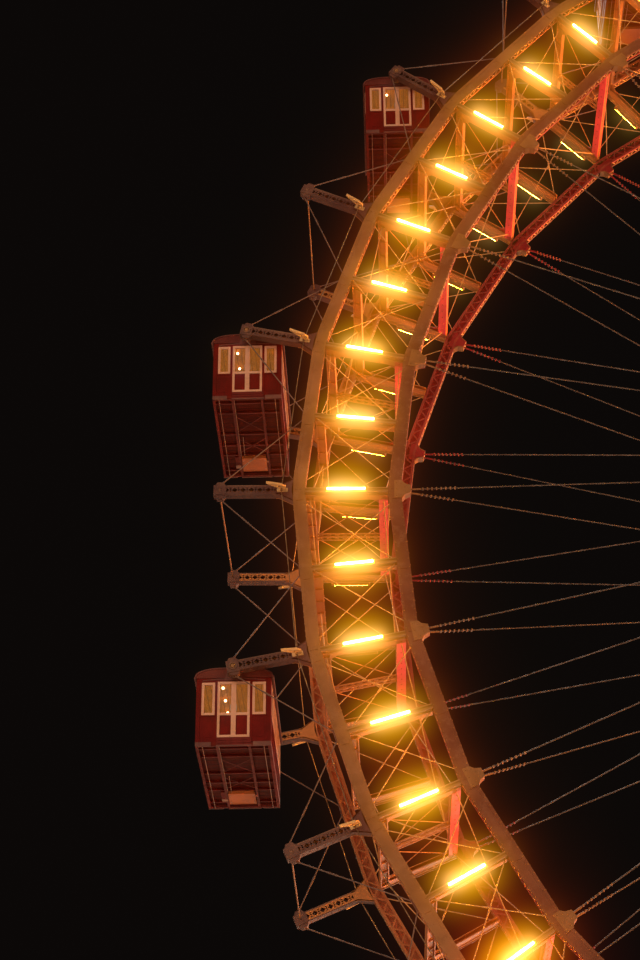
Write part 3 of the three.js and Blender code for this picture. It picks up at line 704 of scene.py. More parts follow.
def arms(iron, sizes):
    """Laced arms that carry the cabins: two flange plates that flare at the foot, crossed lacing on both faces, foot
    plates, a block at the end, bored where it carries a cabin, brackets beside it, and ties to the chord."""
    up, aside, half = outward(ARMS), sideways(ARMS), RING_DEPTH / 2
    drop = HALF_SLOPE * ARM_FOOT_HALF
    path = [(OUTER_TOP - drop, ARM_FOOT_HALF), (ARM_SHOULDER, ARM_HALF), (BLOCK_FOOT + 0.02, ARM_HALF)]
    along, across = np.array(path).T[..., None]
    inset, depth = np.array([(0, -half), (0, half), (0.035, half), (0.035, -half)]).T
    for hand, finish in ((-1, "arm_edge"), (1, "arm_paint")):
        iron.skin(iron.at(ARMS[:, None, None], along, hand * (across - inset), RING_MIDDLE + depth), finish)
    neck, shoulder = ARM_HALF + 0.01, ARM_SHOULDER - OUTER_TOP
    foot = [(-ARM_FOOT_HALF, -drop), (ARM_FOOT_HALF, -drop), (neck, shoulder), (neck, shoulder + 0.1),
            (-neck, shoulder + 0.1), (-neck, shoulder)]
    for depth, finish in ((RING_BACK + 0.015, "cross_paint"), (RING_FACE - 0.015, "arm_paint")):
        rails = [[iron.at(ARMS, along, hand * (ARM_HALF - 0.045), depth) for along in (ARM_SHOULDER + 0.08, BLOCK_FOOT)]
                 for hand in HANDS]
        for rail in rails:
            iron.bars(*rail, 0.02, 0.085, iron.out, finish)
        iron.strips(lacing(*rails, 6), sizes.lacing, 0.014, iron.out, finish)
        iron.plates(foot, iron.at(ARMS, OUTER_TOP, 0.0, depth), aside, up, PLATE, finish)
    rivets = [(28.18, -0.3), (28.18, 0.3), (28.3, -0.2), (28.3, 0.2), (28.46, -0.12), (28.46, 0.12), (28.3, 0.0)]
    iron.studs(iron.at(ARMS[:, None], *np.array(rivets).T, RING_FACE), iron.out, sizes.rivet, "arm_paint")
    row = np.arange(28.75, 30.2, 0.24)
    ties = ((0.0, None, 1.0, "tie_paint"), (1.0, 1.35, 1.4, "tie_paint"), (0.0, 0.16, 1.6, "arm_edge"))
    bracket = [(0.0, -0.2), (0.13, -0.12), (0.13, 0.08), (0.0, 0.16)]
    for hand in HANDS:
        iron.studs(iron.at(ARMS[:, None], row, hand * ARM_HALF), (aside * hand)[:, None], sizes.rivet, "arm_paint")
        seat = iron.at(ARMS[:, None], row, hand * (ARM_HALF - 0.05), RING_FACE - 0.005)
        iron.studs(seat, iron.out, sizes.rivet * 0.8, "arm_edge")
        root = iron.at(ARMS, PIVOT_RADIUS, hand * ARM_HALF)
        iron.plates(bracket, root, aside * hand, up, RING_DEPTH * 0.8, "arm_paint")
        node = ARMS + hand * 0.5
        start = root + aside * hand * 0.09
        end = iron.at(node, on_chord(node, OUTER_TOP) - 0.05, -hand * 0.1)
        link = unit(end - start)
        for low, high, thick, finish in ties:
            iron.rods(start + link * low, start + link * high if high else end, sizes.tie * thick, finish)
    centre, turn = iron.at(CABIN_ARMS, PIVOT_RADIUS), ARM_ZERO + CABIN_ARMS * ARM_STEP
    angle = 2 * math.pi * np.arange(16) / 16
    square = BLOCK_HALF / np.maximum(np.abs(np.cos(angle)), np.abs(np.sin(angle)))
    block = [(0, -half), (1, -half), (1, half), (0, half)]
    lip = [(0, half), (1, half), (0.9, half + 0.03), (0, half + 0.03)]
    iron.eyes(block, centre, angle, PIN_HOLE, square, "arm_paint", turn)
    for way in HANDS:
        iron.eyes(np.array(lip) * (1, way), centre, angle, PIN_HOLE, np.full(16, 0.135), "arm_edge", turn, True)
    plain = [iron.at(BARE_ARMS, radius) for radius in (BLOCK_FOOT, BLOCK_END)]
    iron.bars(*plain, RING_DEPTH, 2 * neck, iron.out, "arm_paint")
    iron.studs(iron.at(BARE_ARMS, PIVOT_RADIUS, 0.0, RING_FACE), iron.out, 0.07, "arm_edge", 0.5, 8)
    plate = [iron.at(MIDWAYS, on_chord(MIDWAYS, OUTER_TOP), hand * 0.2) for hand in HANDS]
    iron.bars(*plate, 0.14, 0.06, iron.out, "arm_paint")


def guides(iron, sizes):
    """Rope guides: a tapered plate that stands out from each arm's face beside its foot, an edge bar and two bolts."""
    def on_guide(along, away, across=0.0):
        return iron.at(ARMS, GUIDE_FOOT + along, 0.02 + across, RING_FACE + away)

    blade = [(0.0, 0.0), (0.10, 0.16), (0.25, 0.36), (0.43, 0.61), (0.50, 0.63), (0.46, 0.36), (0.37, 0.14),
             (0.26, 0.0)]
    iron.plates(blade, on_guide(0.0, 0.0), iron.out, outward(ARMS), 0.05, "guide_paint")
    iron.bars(on_guide(0.12, 0.36), on_guide(0.63, 0.50), 0.03, 0.08, iron.out, "guide_paint")
    iron.bars(on_guide(-0.05, 0.0), on_guide(0.3, 0.0), 0.04, 0.14, iron.out, "guide_paint")
    for along, away in ((0.14, 0.16), (0.22, 0.28)):
        for hand in HANDS:
            iron.studs(on_guide(along, away, hand * 0.025), sideways(ARMS) * hand, sizes.rivet * 1.2, "rim_paint")


def rope(iron, sizes):
    """The drive rope: a circle carried round the thirty arms, with strand marks that wind as it goes."""
    station, ring_points = np.arange(ARM_COUNT * 4) / 4, circle(6)
    radius = on_chord(station, ROPE_RADIUS)[:, None] + ring_points[:, 0] * sizes.rope
    depth = RING_FACE + 0.012 + sizes.rope + iron.side * ring_points[:, 1] * sizes.rope
    turn = 2 * math.pi / 9.0
    marks = np.zeros(radius.shape + (3,))
    marks[..., :2] = ring_points
    marks[..., 2] = (station * round(ROPE_RADIUS * ARM_STEP / turn) * turn)[:, None]
    iron.skin(iron.at(station[:, None], radius, 0.0, depth), "rope_wire", closed=True, smooth=True, strand=marks)
    clamp = [iron.at(ARMS, ROPE_RADIUS, hand * 0.06, RING_FACE + 0.03) for hand in HANDS]
    iron.bars(*clamp, 0.08, 0.04, outward(ARMS), "rim_edge")


# Frames between the rings

def cross_frames(iron, sizes):
    """At each post an outer cross beam with an I-shaped profile, knee plates and a side channel. At each arm also an
    inner cross beam with plated sides and laced faces, a laced beam in the middle plane and crossed rods."""
    def span(arm, along, across=0.0):
        return [iron.at(arm, along, across, depth) for depth in (-reach, reach)]

    def upright(across, depth):
        return [iron.at(ARMS, along, across, depth) for along in (low, high)]

    reach, deep, wide = RING_BACK - 0.01, TRANSOM_DEEP, TRANSOM_WIDE
    aside, rivet = sideways(ARMS), sizes.rivet * 0.9
    inner, outer = INNER_TOP + deep / 2, on_chord(POSTS, OUTER_FOOT - deep / 2)
    iron.carry(np.array(I_BEAM) * (wide, deep), *span(POSTS, outer), sideways(POSTS), "cross_paint")
    for y in np.linspace(0.3 - reach, reach - 0.3, 7):
        stiffener = [iron.at(POSTS, outer + way * 0.13, 0.0, y) for way in HANDS]
        iron.bars(*stiffener, 0.02, wide * 0.9, iron.out, "cross_paint")
    # The rivets on the inner cross beams' sides are painted red light, in the chord edge finish; those under the outer
    # beams keep the cross iron's paint.
    for y in np.linspace(0.1 - reach, reach - 0.1, 15):
        iron.studs(iron.at(POSTS, outer - deep / 2, 0.0, y), -outward(POSTS), rivet, "cross_paint")
        for hand in HANDS:
            iron.studs(iron.at(ARMS, inner, hand * wide / 2, y), aside * hand, rivet, "chord_edge")
    # The inner cross beams' side plates are painted red light, in the beam finish.
    for hand in HANDS:
        iron.bars(*span(ARMS, inner, hand * (wide / 2 - 0.01)), 0.02, deep, aside, "beam_paint")
    for level in (INNER_TOP + 0.008, INNER_TOP + deep - 0.008):
        rails = [span(ARMS, level, hand * (wide / 2 - 0.035)) for hand in HANDS]
        for rail in rails:
            iron.bars(*rail, 0.05, 0.014, aside, "cross_edge")
        iron.strips(lacing(*rails, 34, crossed=False), sizes.lacing * 0.8, LACE, outward(ARMS), "cross_edge")
    # The knees at the inner cross beams are painted red light, in the chord finish; those at the outer beams keep the
    # cross iron's paint.
    knee = [(0, 0), (0.55, 0), (0.1, 0.5), (0, 0.5)]
    knees = ((POSTS, outer - deep / 2, -1, "cross_paint"), (ARMS, inner + deep / 2, 1, "chord_paint"))
    for arm, along, way, paint in knees:
        iron.plates(knee, iron.at(arm, along, 0.0, -reach), iron.out, outward(arm) * way, PLATE, paint, mirror="y")
    for hand in HANDS:
        channel = [iron.at(POSTS, along, hand * 0.065, 0.12 - reach)
                   for along in (on_chord(POSTS, INNER_TOP), outer - deep / 2)]
        iron.bars(*channel, 0.24, PLATE, iron.out, "cross_paint", mirror="y")
    low, high = inner + deep / 2, outer[::2] - deep / 2
    for hand in HANDS:
        rails = [upright(hand * 0.06, y) for y in (-0.1, 0.1)]
        for rail in rails:
            iron.bars(*rail, 0.045, 0.045, iron.out, "cross_paint")
        iron.strips(lacing(*rails, 8), sizes.lacing * 0.7, LACE, aside, "cross_paint")
        y = hand * (reach - 0.25)
        for radius in (inner, OUTER_FOOT - deep / 2):
            iron.rods(iron.at(ARMS, radius, 0.0, y), iron.at(ARMS + 1, radius, 0.0, -y), sizes.rod, "rod_paint")
        for a, b in ((low, high), (high, low)):
            start, end = iron.at(ARMS, a, 0.0, hand * (reach - 0.3)), iron.at(ARMS, b, 0.0, hand * 0.12)
            iron.rods(start, end, sizes.rod, "cross_paint")
    iron.rods(*span(BARE_ARMS, PIVOT_RADIUS + 0.02, -0.02), sizes.rod * 1.4, "rim_edge")


# Gussets, cables, hub

def gussets(iron, sizes):
    """Plates that stand inward from the inner chord at each arm, with the cables' end block."""
    foot, tip, reach = GUSSET_FOOT_HALF, GUSSET_TIP_HALF, GUSSET_TIP - INNER_FOOT
    bend = reach * 0.42
    outline = [(-foot, 0.0), (-foot * 0.62, bend), (-tip, reach), (tip, reach), (foot * 0.62, bend), (foot, 0.0),
               (foot, 0.22), (-foot, 0.22)]
    # Painted red light: the back plate takes the chord finish, whose red stands in for floodlight; the front plate
    # keeps the rim's paint.
    for depth, finish in ((RING_BACK + 0.02, "chord_paint"), (RING_FACE + 0.008, "rim_paint")):
        place = iron.at(ARMS, INNER_FOOT - 0.01, 0.0, depth)
        iron.plates(outline, place, sideways(ARMS), outward(ARMS), PLATE, finish)
    flange = ((INNER_FOOT - HALF_SLOPE * foot, foot - 0.01), (INNER_FOOT + bend, foot * 0.6),
              (GUSSET_TIP + 0.01, tip - 0.01))
    for hand in HANDS:
        a, middle, b = (iron.at(ARMS, along, hand * across) for along, across in flange)
        iron.bars(a, middle, RING_DEPTH, 0.025, iron.out, "rim_paint")
        iron.bars(middle, b, RING_DEPTH, 0.025, iron.out, "rim_paint")
    rivets = [(24.55, -0.2), (24.55, 0.2), (24.42, -0.08), (24.42, 0.08), (24.7, -0.25), (24.7, 0.25), (24.7, 0.0)]
    iron.studs(iron.at(ARMS[:, None], *np.array(rivets).T, RING_FACE + 0.023), iron.out, sizes.rivet, "rim_paint")
    block = [iron.at(ARMS, radius) for radius in (GUSSET_TIP - 0.01, GUSSET_TIP + 0.07)]
    iron.bars(*block, 0.26, 2 * tip, iron.out, "rim_paint")


def cables(iron, sizes):
    """Two cables to each hub disc from each pair of gussets: a circle carried straight from the gusset to the collar.
    The first metre and a half carries a row of screw clamps."""
    aside = sideways(ARMS)
    for ring_side in (iron.side, -iron.side):
        # Painted red light: the sleeves and clamps of the cables from the far ring take the chord finish; those from
        # the near ring keep the rim's edge paint.
        paint = "rim_edge" if ring_side < 0 else "chord_paint"
        start = on_wheel(ARMS, GUSSET_TIP, iron.side * CABLE_OFFSET, ring_side * RING_MIDDLE)
        end, seat = (iron.at(ARMS, COLLAR_RADIUS - inset, -ring_side * CABLE_OFFSET, DISC_Y) for inset in (0.06, 0.02))
        link = unit(end - start)
        lift = unit(np.cross(link, aside)) * 0.06
        iron.rods(start, end, sizes.cable, "cable_wire", wound=True)
        iron.rods(start, start + link * 0.34, sizes.cable * 1.5, paint)
        for step in np.arange(0.40, 1.5, 0.15):
            middle = start + link * step
            iron.bars(middle - lift, middle + lift, 0.045, 0.045, aside, paint)
        iron.studs(seat, outward(ARMS), 0.055, "cross_paint", 1.0, 6)
    inner, outer, half = DISC_RADIUS + 0.002, COLLAR_RADIUS, 0.15
    collar = [(inner, -half), (outer - 0.03, -half), (outer, 0.03 - half), (outer, half - 0.03),
              (outer - 0.03, half), (inner, half)]
    radius, y = np.array(collar).T
    iron.skin(iron.at(POSTS[:, None], radius, 0.0, DISC_Y + y), "cross_paint", closed=True, smooth=True)


def axle(steel, sizes):
    """The turned axle with its two hub discs: circles of changing radius along the axis, and rings of bolts on the
    discs."""
    r, end, disc = AXLE_RADIUS, AXLE_HALF, DISC_Y
    half = [(0.1, end), (0.12, end - 0.01), (r - 0.03, end - 0.01), (r, end - 0.04), (r, disc + 0.42), (r, disc + 0.40),
            (0.46, disc + 0.17), (0.82, disc + 0.15), (DISC_RADIUS, disc + 0.13), (DISC_RADIUS, disc - 0.13),
            (0.82, disc - 0.15), (0.46, disc - 0.17), (0.46, disc - 0.52), (0.44, disc - 0.54), (r, disc - 0.54),
            (r + 0.005, 0.0)]
    steel.turned(half + [(radius, -y) for radius, y in half[-2::-1]], 40, "axle_steel")
    angle = 2 * math.pi * np.arange(24) / 24
    for radius, away, size in ((0.74, 0.152, 0.035), (0.74, -0.152, 0.035), (0.56, -0.163, 0.03)):
        places = np.stack([radius * np.cos(angle), np.full(24, disc + away), radius * np.sin(angle)], -1)
        steel.studs(places, Y * np.sign(away), size, "axle_steel", 0.8, 6, mirror="y")


def lamps(iron, sizes):
    """A tube beside each post, as circles along its own line that narrow at the ends, in a shallow tray on two feet."""
    depth, start, end = LAMP_DEPTH[iron.side], on_chord(POSTS, 25.72), on_chord(POSTS, 26.98)
    share, swell = np.array([(0.0, 0.55), (0.01, 0.9), (0.03, 1.0), (0.97, 1.0), (0.99, 0.9), (1.0, 0.55)]).T
    along = (start[:, None] + (end - start)[:, None] * share)[..., None]
    across, away = circle(10).T[:, None] * swell[:, None] * sizes.tube
    iron.skin(iron.at(POSTS[:, None, None], along, across, depth + iron.side * away), "tube_glass", smooth=True)
    tray = [iron.at(POSTS, radius, 0.0, depth - 0.065) for radius in (start - 0.05, end + 0.05)]
    iron.bars(*tray, 0.15, 0.02, sideways(POSTS), "rim_paint")
    for radius in (start - 0.03, end + 0.03):
        foot = [iron.at(POSTS, radius, 0.0, level) for level in (RING_FACE - 0.06, depth + 0.03)]
        iron.bars(*foot, 0.07, 0.05, sideways(POSTS), "rim_paint")


# Cabins

def extrude(solids, x, z, y0, y1, finish, mirror=""):
    """An outline in x and z is carried from y0 to y1."""
    solids.skin(np.stack(np.broadcast_arrays(x, [[y0], [y1]], z), -1), finish, mirror=mirror)


def frame_rows(low, high, bar, flat=1):
    """The four square bars of a frame between a low and a high corner, flat across the axis of that number."""
    along, up = [axis for axis in range(3) if axis != flat]
    rows = []
    for axis, inset in ((up, 0.0), (along, bar)):
        for end in (0, 1):
            a, b = list(low), list(high)
            a[axis], b[axis] = (high[axis] - bar, high[axis]) if end else (low[axis], low[axis] + bar)
            rows.append(a + b)
            if inset:
                a[up], b[up] = low[up] + inset, high[up] - inset
                rows[-1] = a + b
    return rows


def shell(cabin, sizes):
    """Cabin walls: posts, rails, recessed panels and battens round the openings, floor, ceiling and inner lining."""
    w, end, post, deep = CABIN_WIDTH, CABIN_END, CABIN_WIDTH - 0.12, CABIN_END + WALL
    low, sill, head_rail = -2.28, SILL - 0.01, -0.27
    inside, near = w - WALL, end + 0.15
    cabin.blocks([(post, end, BASE + 0.02, w, near, EAVES), (DOOR_HALF, end, low, PANE_START, deep, head_rail),
                  (PANE_END, end, sill, post, deep, head_rail), (PANE_START, end + 0.02, low, post, deep, sill),
                  (PANE_START, end + 0.004, sill - 0.05, post, end + 0.03, sill),
                  (PANE_START, end + 0.004, low, post, end + 0.03, low + 0.08),
                  (0.66, end + 0.01, -2.12, 0.97, end + 0.03, SILL - 0.13)], "cabin_paint", "xy")
    cabin.blocks((-post, end, head_rail, post, deep, EAVES), "cabin_paint", "y")
    bars = [(y - 0.03, y + 0.03) for y in (-1.66, 0.0, 1.66)]
    bars += [(near, -2.37), (-0.95, -0.71), (0.71, 0.95), (2.37, -near)]
    side = [(inside, w, HEAD, EAVES), (inside, w - 0.02, BASE + 0.1, SILL), (w - 0.03, w + 0.012, SILL - 0.08, SILL),
            (w - 0.03, w + 0.005, BASE + 0.02, BASE + 0.18)]
    cabin.blocks([(inside, y0, SILL, w, y1, HEAD) for y0, y1 in bars]
                 + [(x0, near, z0, x1, -near, z1) for x0, x1, z0, z1 in side]
                 + [(w - 0.03, y - 0.03, BASE + 0.18, w, y + 0.03, SILL - 0.08)
                    for y in np.linspace(end + 0.5, -end - 0.5, 11)], "cabin_paint", "x")
    cabin.blocks((-inside, deep, FLOOR - 0.06, inside, -deep, FLOOR), "floor_boards")
    # Painted lamplight: the ceiling and the linings of the walls and door posts glow with the lining's colour.
    cabin.blocks((-inside, deep, -0.2, inside, -deep, -0.17), "cabin_lining")
    cabin.blocks([(inside - 0.012, deep, z0, inside - 0.001, -deep, z1)
                  for z0, z1 in ((FLOOR, SILL - 0.005), (HEAD + 0.005, -0.17))], "cabin_lining", "x")
    cabin.blocks((DOOR_HALF + 0.01, deep + 0.001, FLOOR, inside, deep + 0.012, SILL - 0.005), "cabin_lining", "xy")
    arc = np.linspace(-1, 1, 17)
    rise = 0.055 * (1 - arc ** 2) - 0.205
    ribbon = np.concatenate([arc, arc[::-1]]) * 0.98, np.concatenate([rise, rise[::-1] - 0.03])
    extrude(cabin, *ribbon, end - 0.022, end + 0.01, "trim_paint", "y")


def joinery(cabin, sizes):
    """White window frames and double doors: four-sided frames of square bars in each opening."""
    w, bar, near, back = CABIN_WIDTH, sizes.bar, CABIN_END - 0.016, CABIN_END + 0.05
    cabin.blocks(frame_rows((PANE_START, near, -1.385), (PANE_END, back, -0.285), bar), "joinery_paint", "xy")
    for left, right in ((-DOOR_HALF, 0.0), (0.0, DOOR_HALF)):
        cabin.blocks(frame_rows((left, near, -2.135), (right, back, -0.262), bar)
                     + [[left + bar, near, -1.40, right - bar, back, -1.315]], "joinery_paint", "y")
    cabin.blocks((-0.02, near - 0.008, -2.12, 0.02, near + 0.01, -0.28), "joinery_paint", "y")
    cabin.blocks((0.09, near - 0.02, -1.27, 0.105, near, -1.05), "axle_steel", "xy")
    for y in SIDE_WINDOWS:
        rows = frame_rows((w - 0.05, y - 0.34, SILL), (w + 0.012, y + 0.34, HEAD), bar * 0.75, 0)
        cabin.blocks(rows, "joinery_paint", "x")


def door_panels(cabin, sizes):
    """Lower door panels, each with a raised field."""
    rim, field = sizes.bar - 0.01, sizes.bar + 0.07
    for left, right in ((-DOOR_HALF, 0.0), (0.0, DOOR_HALF)):
        cabin.blocks([(left + rim, CABIN_END + 0.016, -2.07, right - rim, CABIN_END + 0.035, -1.39),
                      (left + field, CABIN_END + 0.006, -2.0, right - field, CABIN_END + 0.02, -1.46)],
                     "cabin_paint", "y")


def glass(cabin, sizes):
    """Thin panes set behind the frames."""
    w, inset, near, back = CABIN_WIDTH, sizes.bar - 0.015, CABIN_END + 0.02, CABIN_END + 0.028
    cabin.blocks([(PANE_START + inset, near, -1.35, PANE_END - inset, back, -0.32),
                  (inset, near, -1.33, DOOR_HALF - inset, back, -0.31)], "window_glass", "xy")
    cabin.blocks([(w - 0.03, y - 0.3, SILL + 0.04, w - 0.022, y + 0.3, HEAD - 0.04) for y in SIDE_WINDOWS],
                 "window_glass", "x")


def roof(cabin, sizes):
    """Roof: its vault outline carried along the cabin, with standing seams, trims, gutters, pins and hanger plates.
    The vault's height at a share of its half width is its rise times (1 - share to the 3.2) to the 1/2.4."""
    w, end = CABIN_WIDTH + 0.05, CABIN_END - 0.05
    share = np.sin(np.linspace(-1, 1, 29) * math.pi / 2)
    curve = np.clip(1 - np.abs(share) ** 3.2, 0, 1) ** (1 / 2.4)

    def arc(grow):
        return share * (w + grow), np.maximum(EAVES + (CROWN - EAVES + grow) * curve, EAVES)

    def hoop(inner, outer, y0, y1, finish, mirror=""):
        x, z = (np.concatenate([a, b[::-1]]) for a, b in zip(arc(outer), arc(inner)))
        extrude(cabin, x, z, y0, y1, finish, mirror)

    x, z = arc(0.0)
    x, z = np.append(x, [w, -w]), np.append(np.maximum(z, EAVES + 0.03), [EAVES + 0.002] * 2)
    extrude(cabin, x, z, end + 0.02, -end - 0.02, "roof_paint")
    hoop(-0.03, 0.012, end - 0.005, end + 0.05, "roof_edge", "y")
    for y in np.linspace(end + 0.55, -end - 0.55, 6):
        hoop(-0.02, 0.014, y - 0.018, y + 0.018, "roof_paint")
    cabin.blocks((w - 0.03, end + 0.01, EAVES - 0.03, w + 0.03, -end - 0.01, EAVES + 0.04), "roof_edge", "x")
    pin = RING_FACE + 0.05
    cabin.turned([(0.062, -end - 0.1), (0.068, pin - 0.02), (0.05, pin)], 12, "rim_edge", "y")
    flange = [(0.16, -0.04), (0.16, 0.02), (0.11, 0.04), (0.11, 0.20), (0.09, 0.22)]
    cabin.turned([(radius, y - end) for radius, y in flange], 16, "rim_edge", "y")
    hanger = [(-0.30, -0.24), (0.30, -0.24), (0.20, 0.10), (0.12, 0.15), (-0.12, 0.15), (-0.20, 0.10)]
    cabin.plates(hanger, Y * (end - 0.012), X, Z, PLATE, "roof_edge", "y")
    bolts = [(x, end - 0.027, z) for x, z in ((-0.2, -0.18), (0.2, -0.18), (-0.12, 0.07), (0.12, 0.07))]
    cabin.studs(bolts, -Y, sizes.rivet, "roof_edge", mirror="y")


def underframe(cabin, sizes):
    """Below the floor: sills, two long beams, joists, boards, pipes, crossed ties, step, locker and two boxes."""
    w, end, top, under, edge = CABIN_WIDTH, CABIN_END, FLOOR - 0.15, "under_paint", "under_edge"
    inside = w - 0.09
    cabin.blocks((0.07 - w, end + 0.1, top, w - 0.07, -end - 0.1, FLOOR - 0.06), "under_boards")
    cabin.blocks((inside, end + 0.02, BASE, w - 0.004, -end - 0.02, top + 0.02), under, "x")
    cabin.blocks((-inside, end + 0.03, BASE + 0.01, inside, end + 0.1, top + 0.02), edge, "y")
    cabin.blocks([(-w, end - 0.018, BASE, -0.68, end + 0.03, -2.29), (0.62, end - 0.018, BASE, w, end + 0.03, -2.29),
                  (-0.52, end - 0.03, BASE, 0.57, end + 0.01, BASE + 0.022)], "trim_paint", "y")
    cabin.blocks((-0.68, end + 0.01, BASE + 0.03, -0.51, end + 0.04, -2.28), under, "y")
    cabin.blocks([(-0.51, end - 0.004, BASE + 0.01, 0.56, end + 0.04, -2.14),
                  *((-0.52, end - 0.03, z, 0.57, end + 0.01, z + 0.022) for z in (BASE + 0.09, BASE + 0.18))],
                 "step_paint", "y")
    beam = np.array([(0.5, end + 0.1, BASE + 0.07), (0.5, -end - 0.1, BASE + 0.07)])
    cabin.carry(np.array(I_BEAM) * (0.08, 0.1), *beam, X, edge, mirror="x")
    for half, z0, z1, finish in ((0.015, BASE + 0.07, top, under), (0.03, BASE + 0.06, BASE + 0.072, edge)):
        cabin.blocks([(-inside, y - half, z0, inside, y + half, z1)
                      for y in (-2.2, -1.58, -0.22, 0.52, 1.17, 2.2)], finish)
    pipes = ((-0.95, end + 0.06, -0.95, -end - 0.06, 0.005, 0.012), (0.95, end + 0.06, 0.95, -end - 0.06, 0.005, 0.012),
             (-0.44, end + 0.1, -0.44, 1.25, 0.03, 0.011), (-0.30, -0.1, -0.34, 1.9, 0.03, 0.011))
    for x0, y0, x1, y1, rise, radius in pipes:
        cabin.rods((x0, y0, BASE + rise), (x1, y1, BASE + rise), radius, "pipe_paint")
    for y0, y1 in ((-1.40, -0.42), (0.05, 0.95)):
        for x in (-0.46, 0.46):
            cabin.bars((x, y0, BASE + 0.045), (-x, y1, BASE + 0.045), 0.012, 0.03, Z, edge)
    cabin.blocks([(-0.42, 1.25, FLOOR - 0.3, 0.42, 2.1, top),
                  *frame_rows((-0.435, 1.235, FLOOR - 0.31), (0.435, 2.115, FLOOR - 0.29), 0.035, 2)], "locker_paint")
    cabin.blocks((-0.68, 1.25, BASE + 0.03, -0.50, 1.78, top), under)
    cabin.blocks([(x0, y0, BASE + 0.01, x1, y1, top) for x0, y0, x1, y1 in ((-0.68, 1.80, -0.50, 1.99),
                                                                           (0.44, 1.50, 0.50, 1.62))], "pipe_paint")
    cabin.studs([(x, y, FLOOR - 0.305) for x in (-0.38, 0.38) for y in (1.40, 1.95)], -Z, 0.02, "axle_steel")


def bulbs(cabin, sizes):
    """Round bulbs under the ceiling: circles whose radius is the sine of the angle from top to bottom."""
    angle = np.linspace(0.18, math.pi - 0.18, 7)[:, None]
    x, y, z = -0.37, np.array([-2.2, -1.25, -0.3, 0.65, 1.6])[:, None, None], -0.29
    ring_x, ring_y = circle(10).T
    wide, rise = sizes.bulb * np.sin(angle), sizes.bulb * np.cos(angle)
    grid = x + wide * ring_x, y + wide * ring_y, z + rise
    cabin.skin(np.stack(np.broadcast_arrays(*grid), -1), "bulb_glass", smooth=True)
    stems = np.array([(x, place, z + 0.04) for place in y.ravel()])
    cabin.rods(stems, stems * (1, 1, 0) - Z * 0.19, 0.025, "joinery_paint")


# Towers

def leg(side_x, which, iron, sizes):
    """A lattice leg: four corner angles that draw together towards the top, battens and crossed lacing on all four
    faces, carried along the straight line from foot to head, on a stone-like foot block with a bolted shoe."""
    (foot_x, foot_y), (head_x, head_y) = LEGS[which]
    base = np.array([side_x * foot_x, iron.side * foot_y, 0.0])
    run = np.array([side_x * head_x, iron.side * head_y, LEG_TOP]) - base
    up = unit(run)
    across = unit(X - up[0] * up)
    square = np.cross(across, up)
    share = np.linspace(0.014, 0.9985, LEG_PANELS + 1)
    half = (LEG_WIDTHS[0] + (LEG_WIDTHS[1] - LEG_WIDTHS[0]) * share) / 2
    angle = np.array([(0, 0), (-0.13, 0), (-0.13, -0.022), (-0.022, -0.022), (-0.022, -0.13), (0, -0.13)])
    corner = {}
    for i in HANDS:
        for j in HANDS:
            corner[i, j] = base + share[:, None] * run + across * (i * half)[:, None] + square * (j * LEG_DEPTH / 2)
            section = across * angle[:, :1] * i + square * angle[:, 1:] * j
            iron.skin(corner[i, j][[0, -1]][:, None] + section, "tower_paint")
    faces = [((-1, -1), (1, -1), -square), ((-1, 1), (1, 1), square), ((-1, -1), (-1, 1), -across),
             ((1, -1), (1, 1), across)]
    for one, two, normal in faces:
        p, q = corner[one] - normal * 0.012, corner[two] - normal * 0.012
        p, q = p + (q - p) * 0.04, q - (q - p) * 0.04
        iron.bars(p, q, 0.09, 0.016, up, "tower_paint")
        ends = np.concatenate([p[:-1], q[:-1]]), np.concatenate([q[1:], p[1:]])
        iron.strips(ends, sizes.lacing * 1.25, 0.014, normal, "tower_paint")
        iron.studs((p[:-1] + q[1:]) / 2 + normal * 0.008, normal, sizes.rivet * 1.3, "tower_paint")
        for shift in (-0.05, 0.05):
            iron.studs(np.concatenate([p, q]) + up * shift + normal * 0.01, normal, sizes.rivet * 1.1, "tower_paint")
    levels = np.array([(1.0, 0.0), (1.0, 0.36), (0.93, 0.43), (0.93, 0.5)])
    block = [np.c_[SQUARE * 2 * size, np.full(4, z)] + base for size, z in levels]
    iron.skin(np.stack(block), "tower_paint")
    iron.blocks((*(base + (-0.86, -0.62, 0.5)), *(base + (0.86, 0.62, 0.56))), "tower_paint")
    bolts = [(x, y, 0.56) for x in (-0.76, 0.76) for y in (-0.52, 0.0, 0.52)]
    iron.studs(base + np.array(bolts), Z, 0.06, "tower_paint", 0.9, 6)


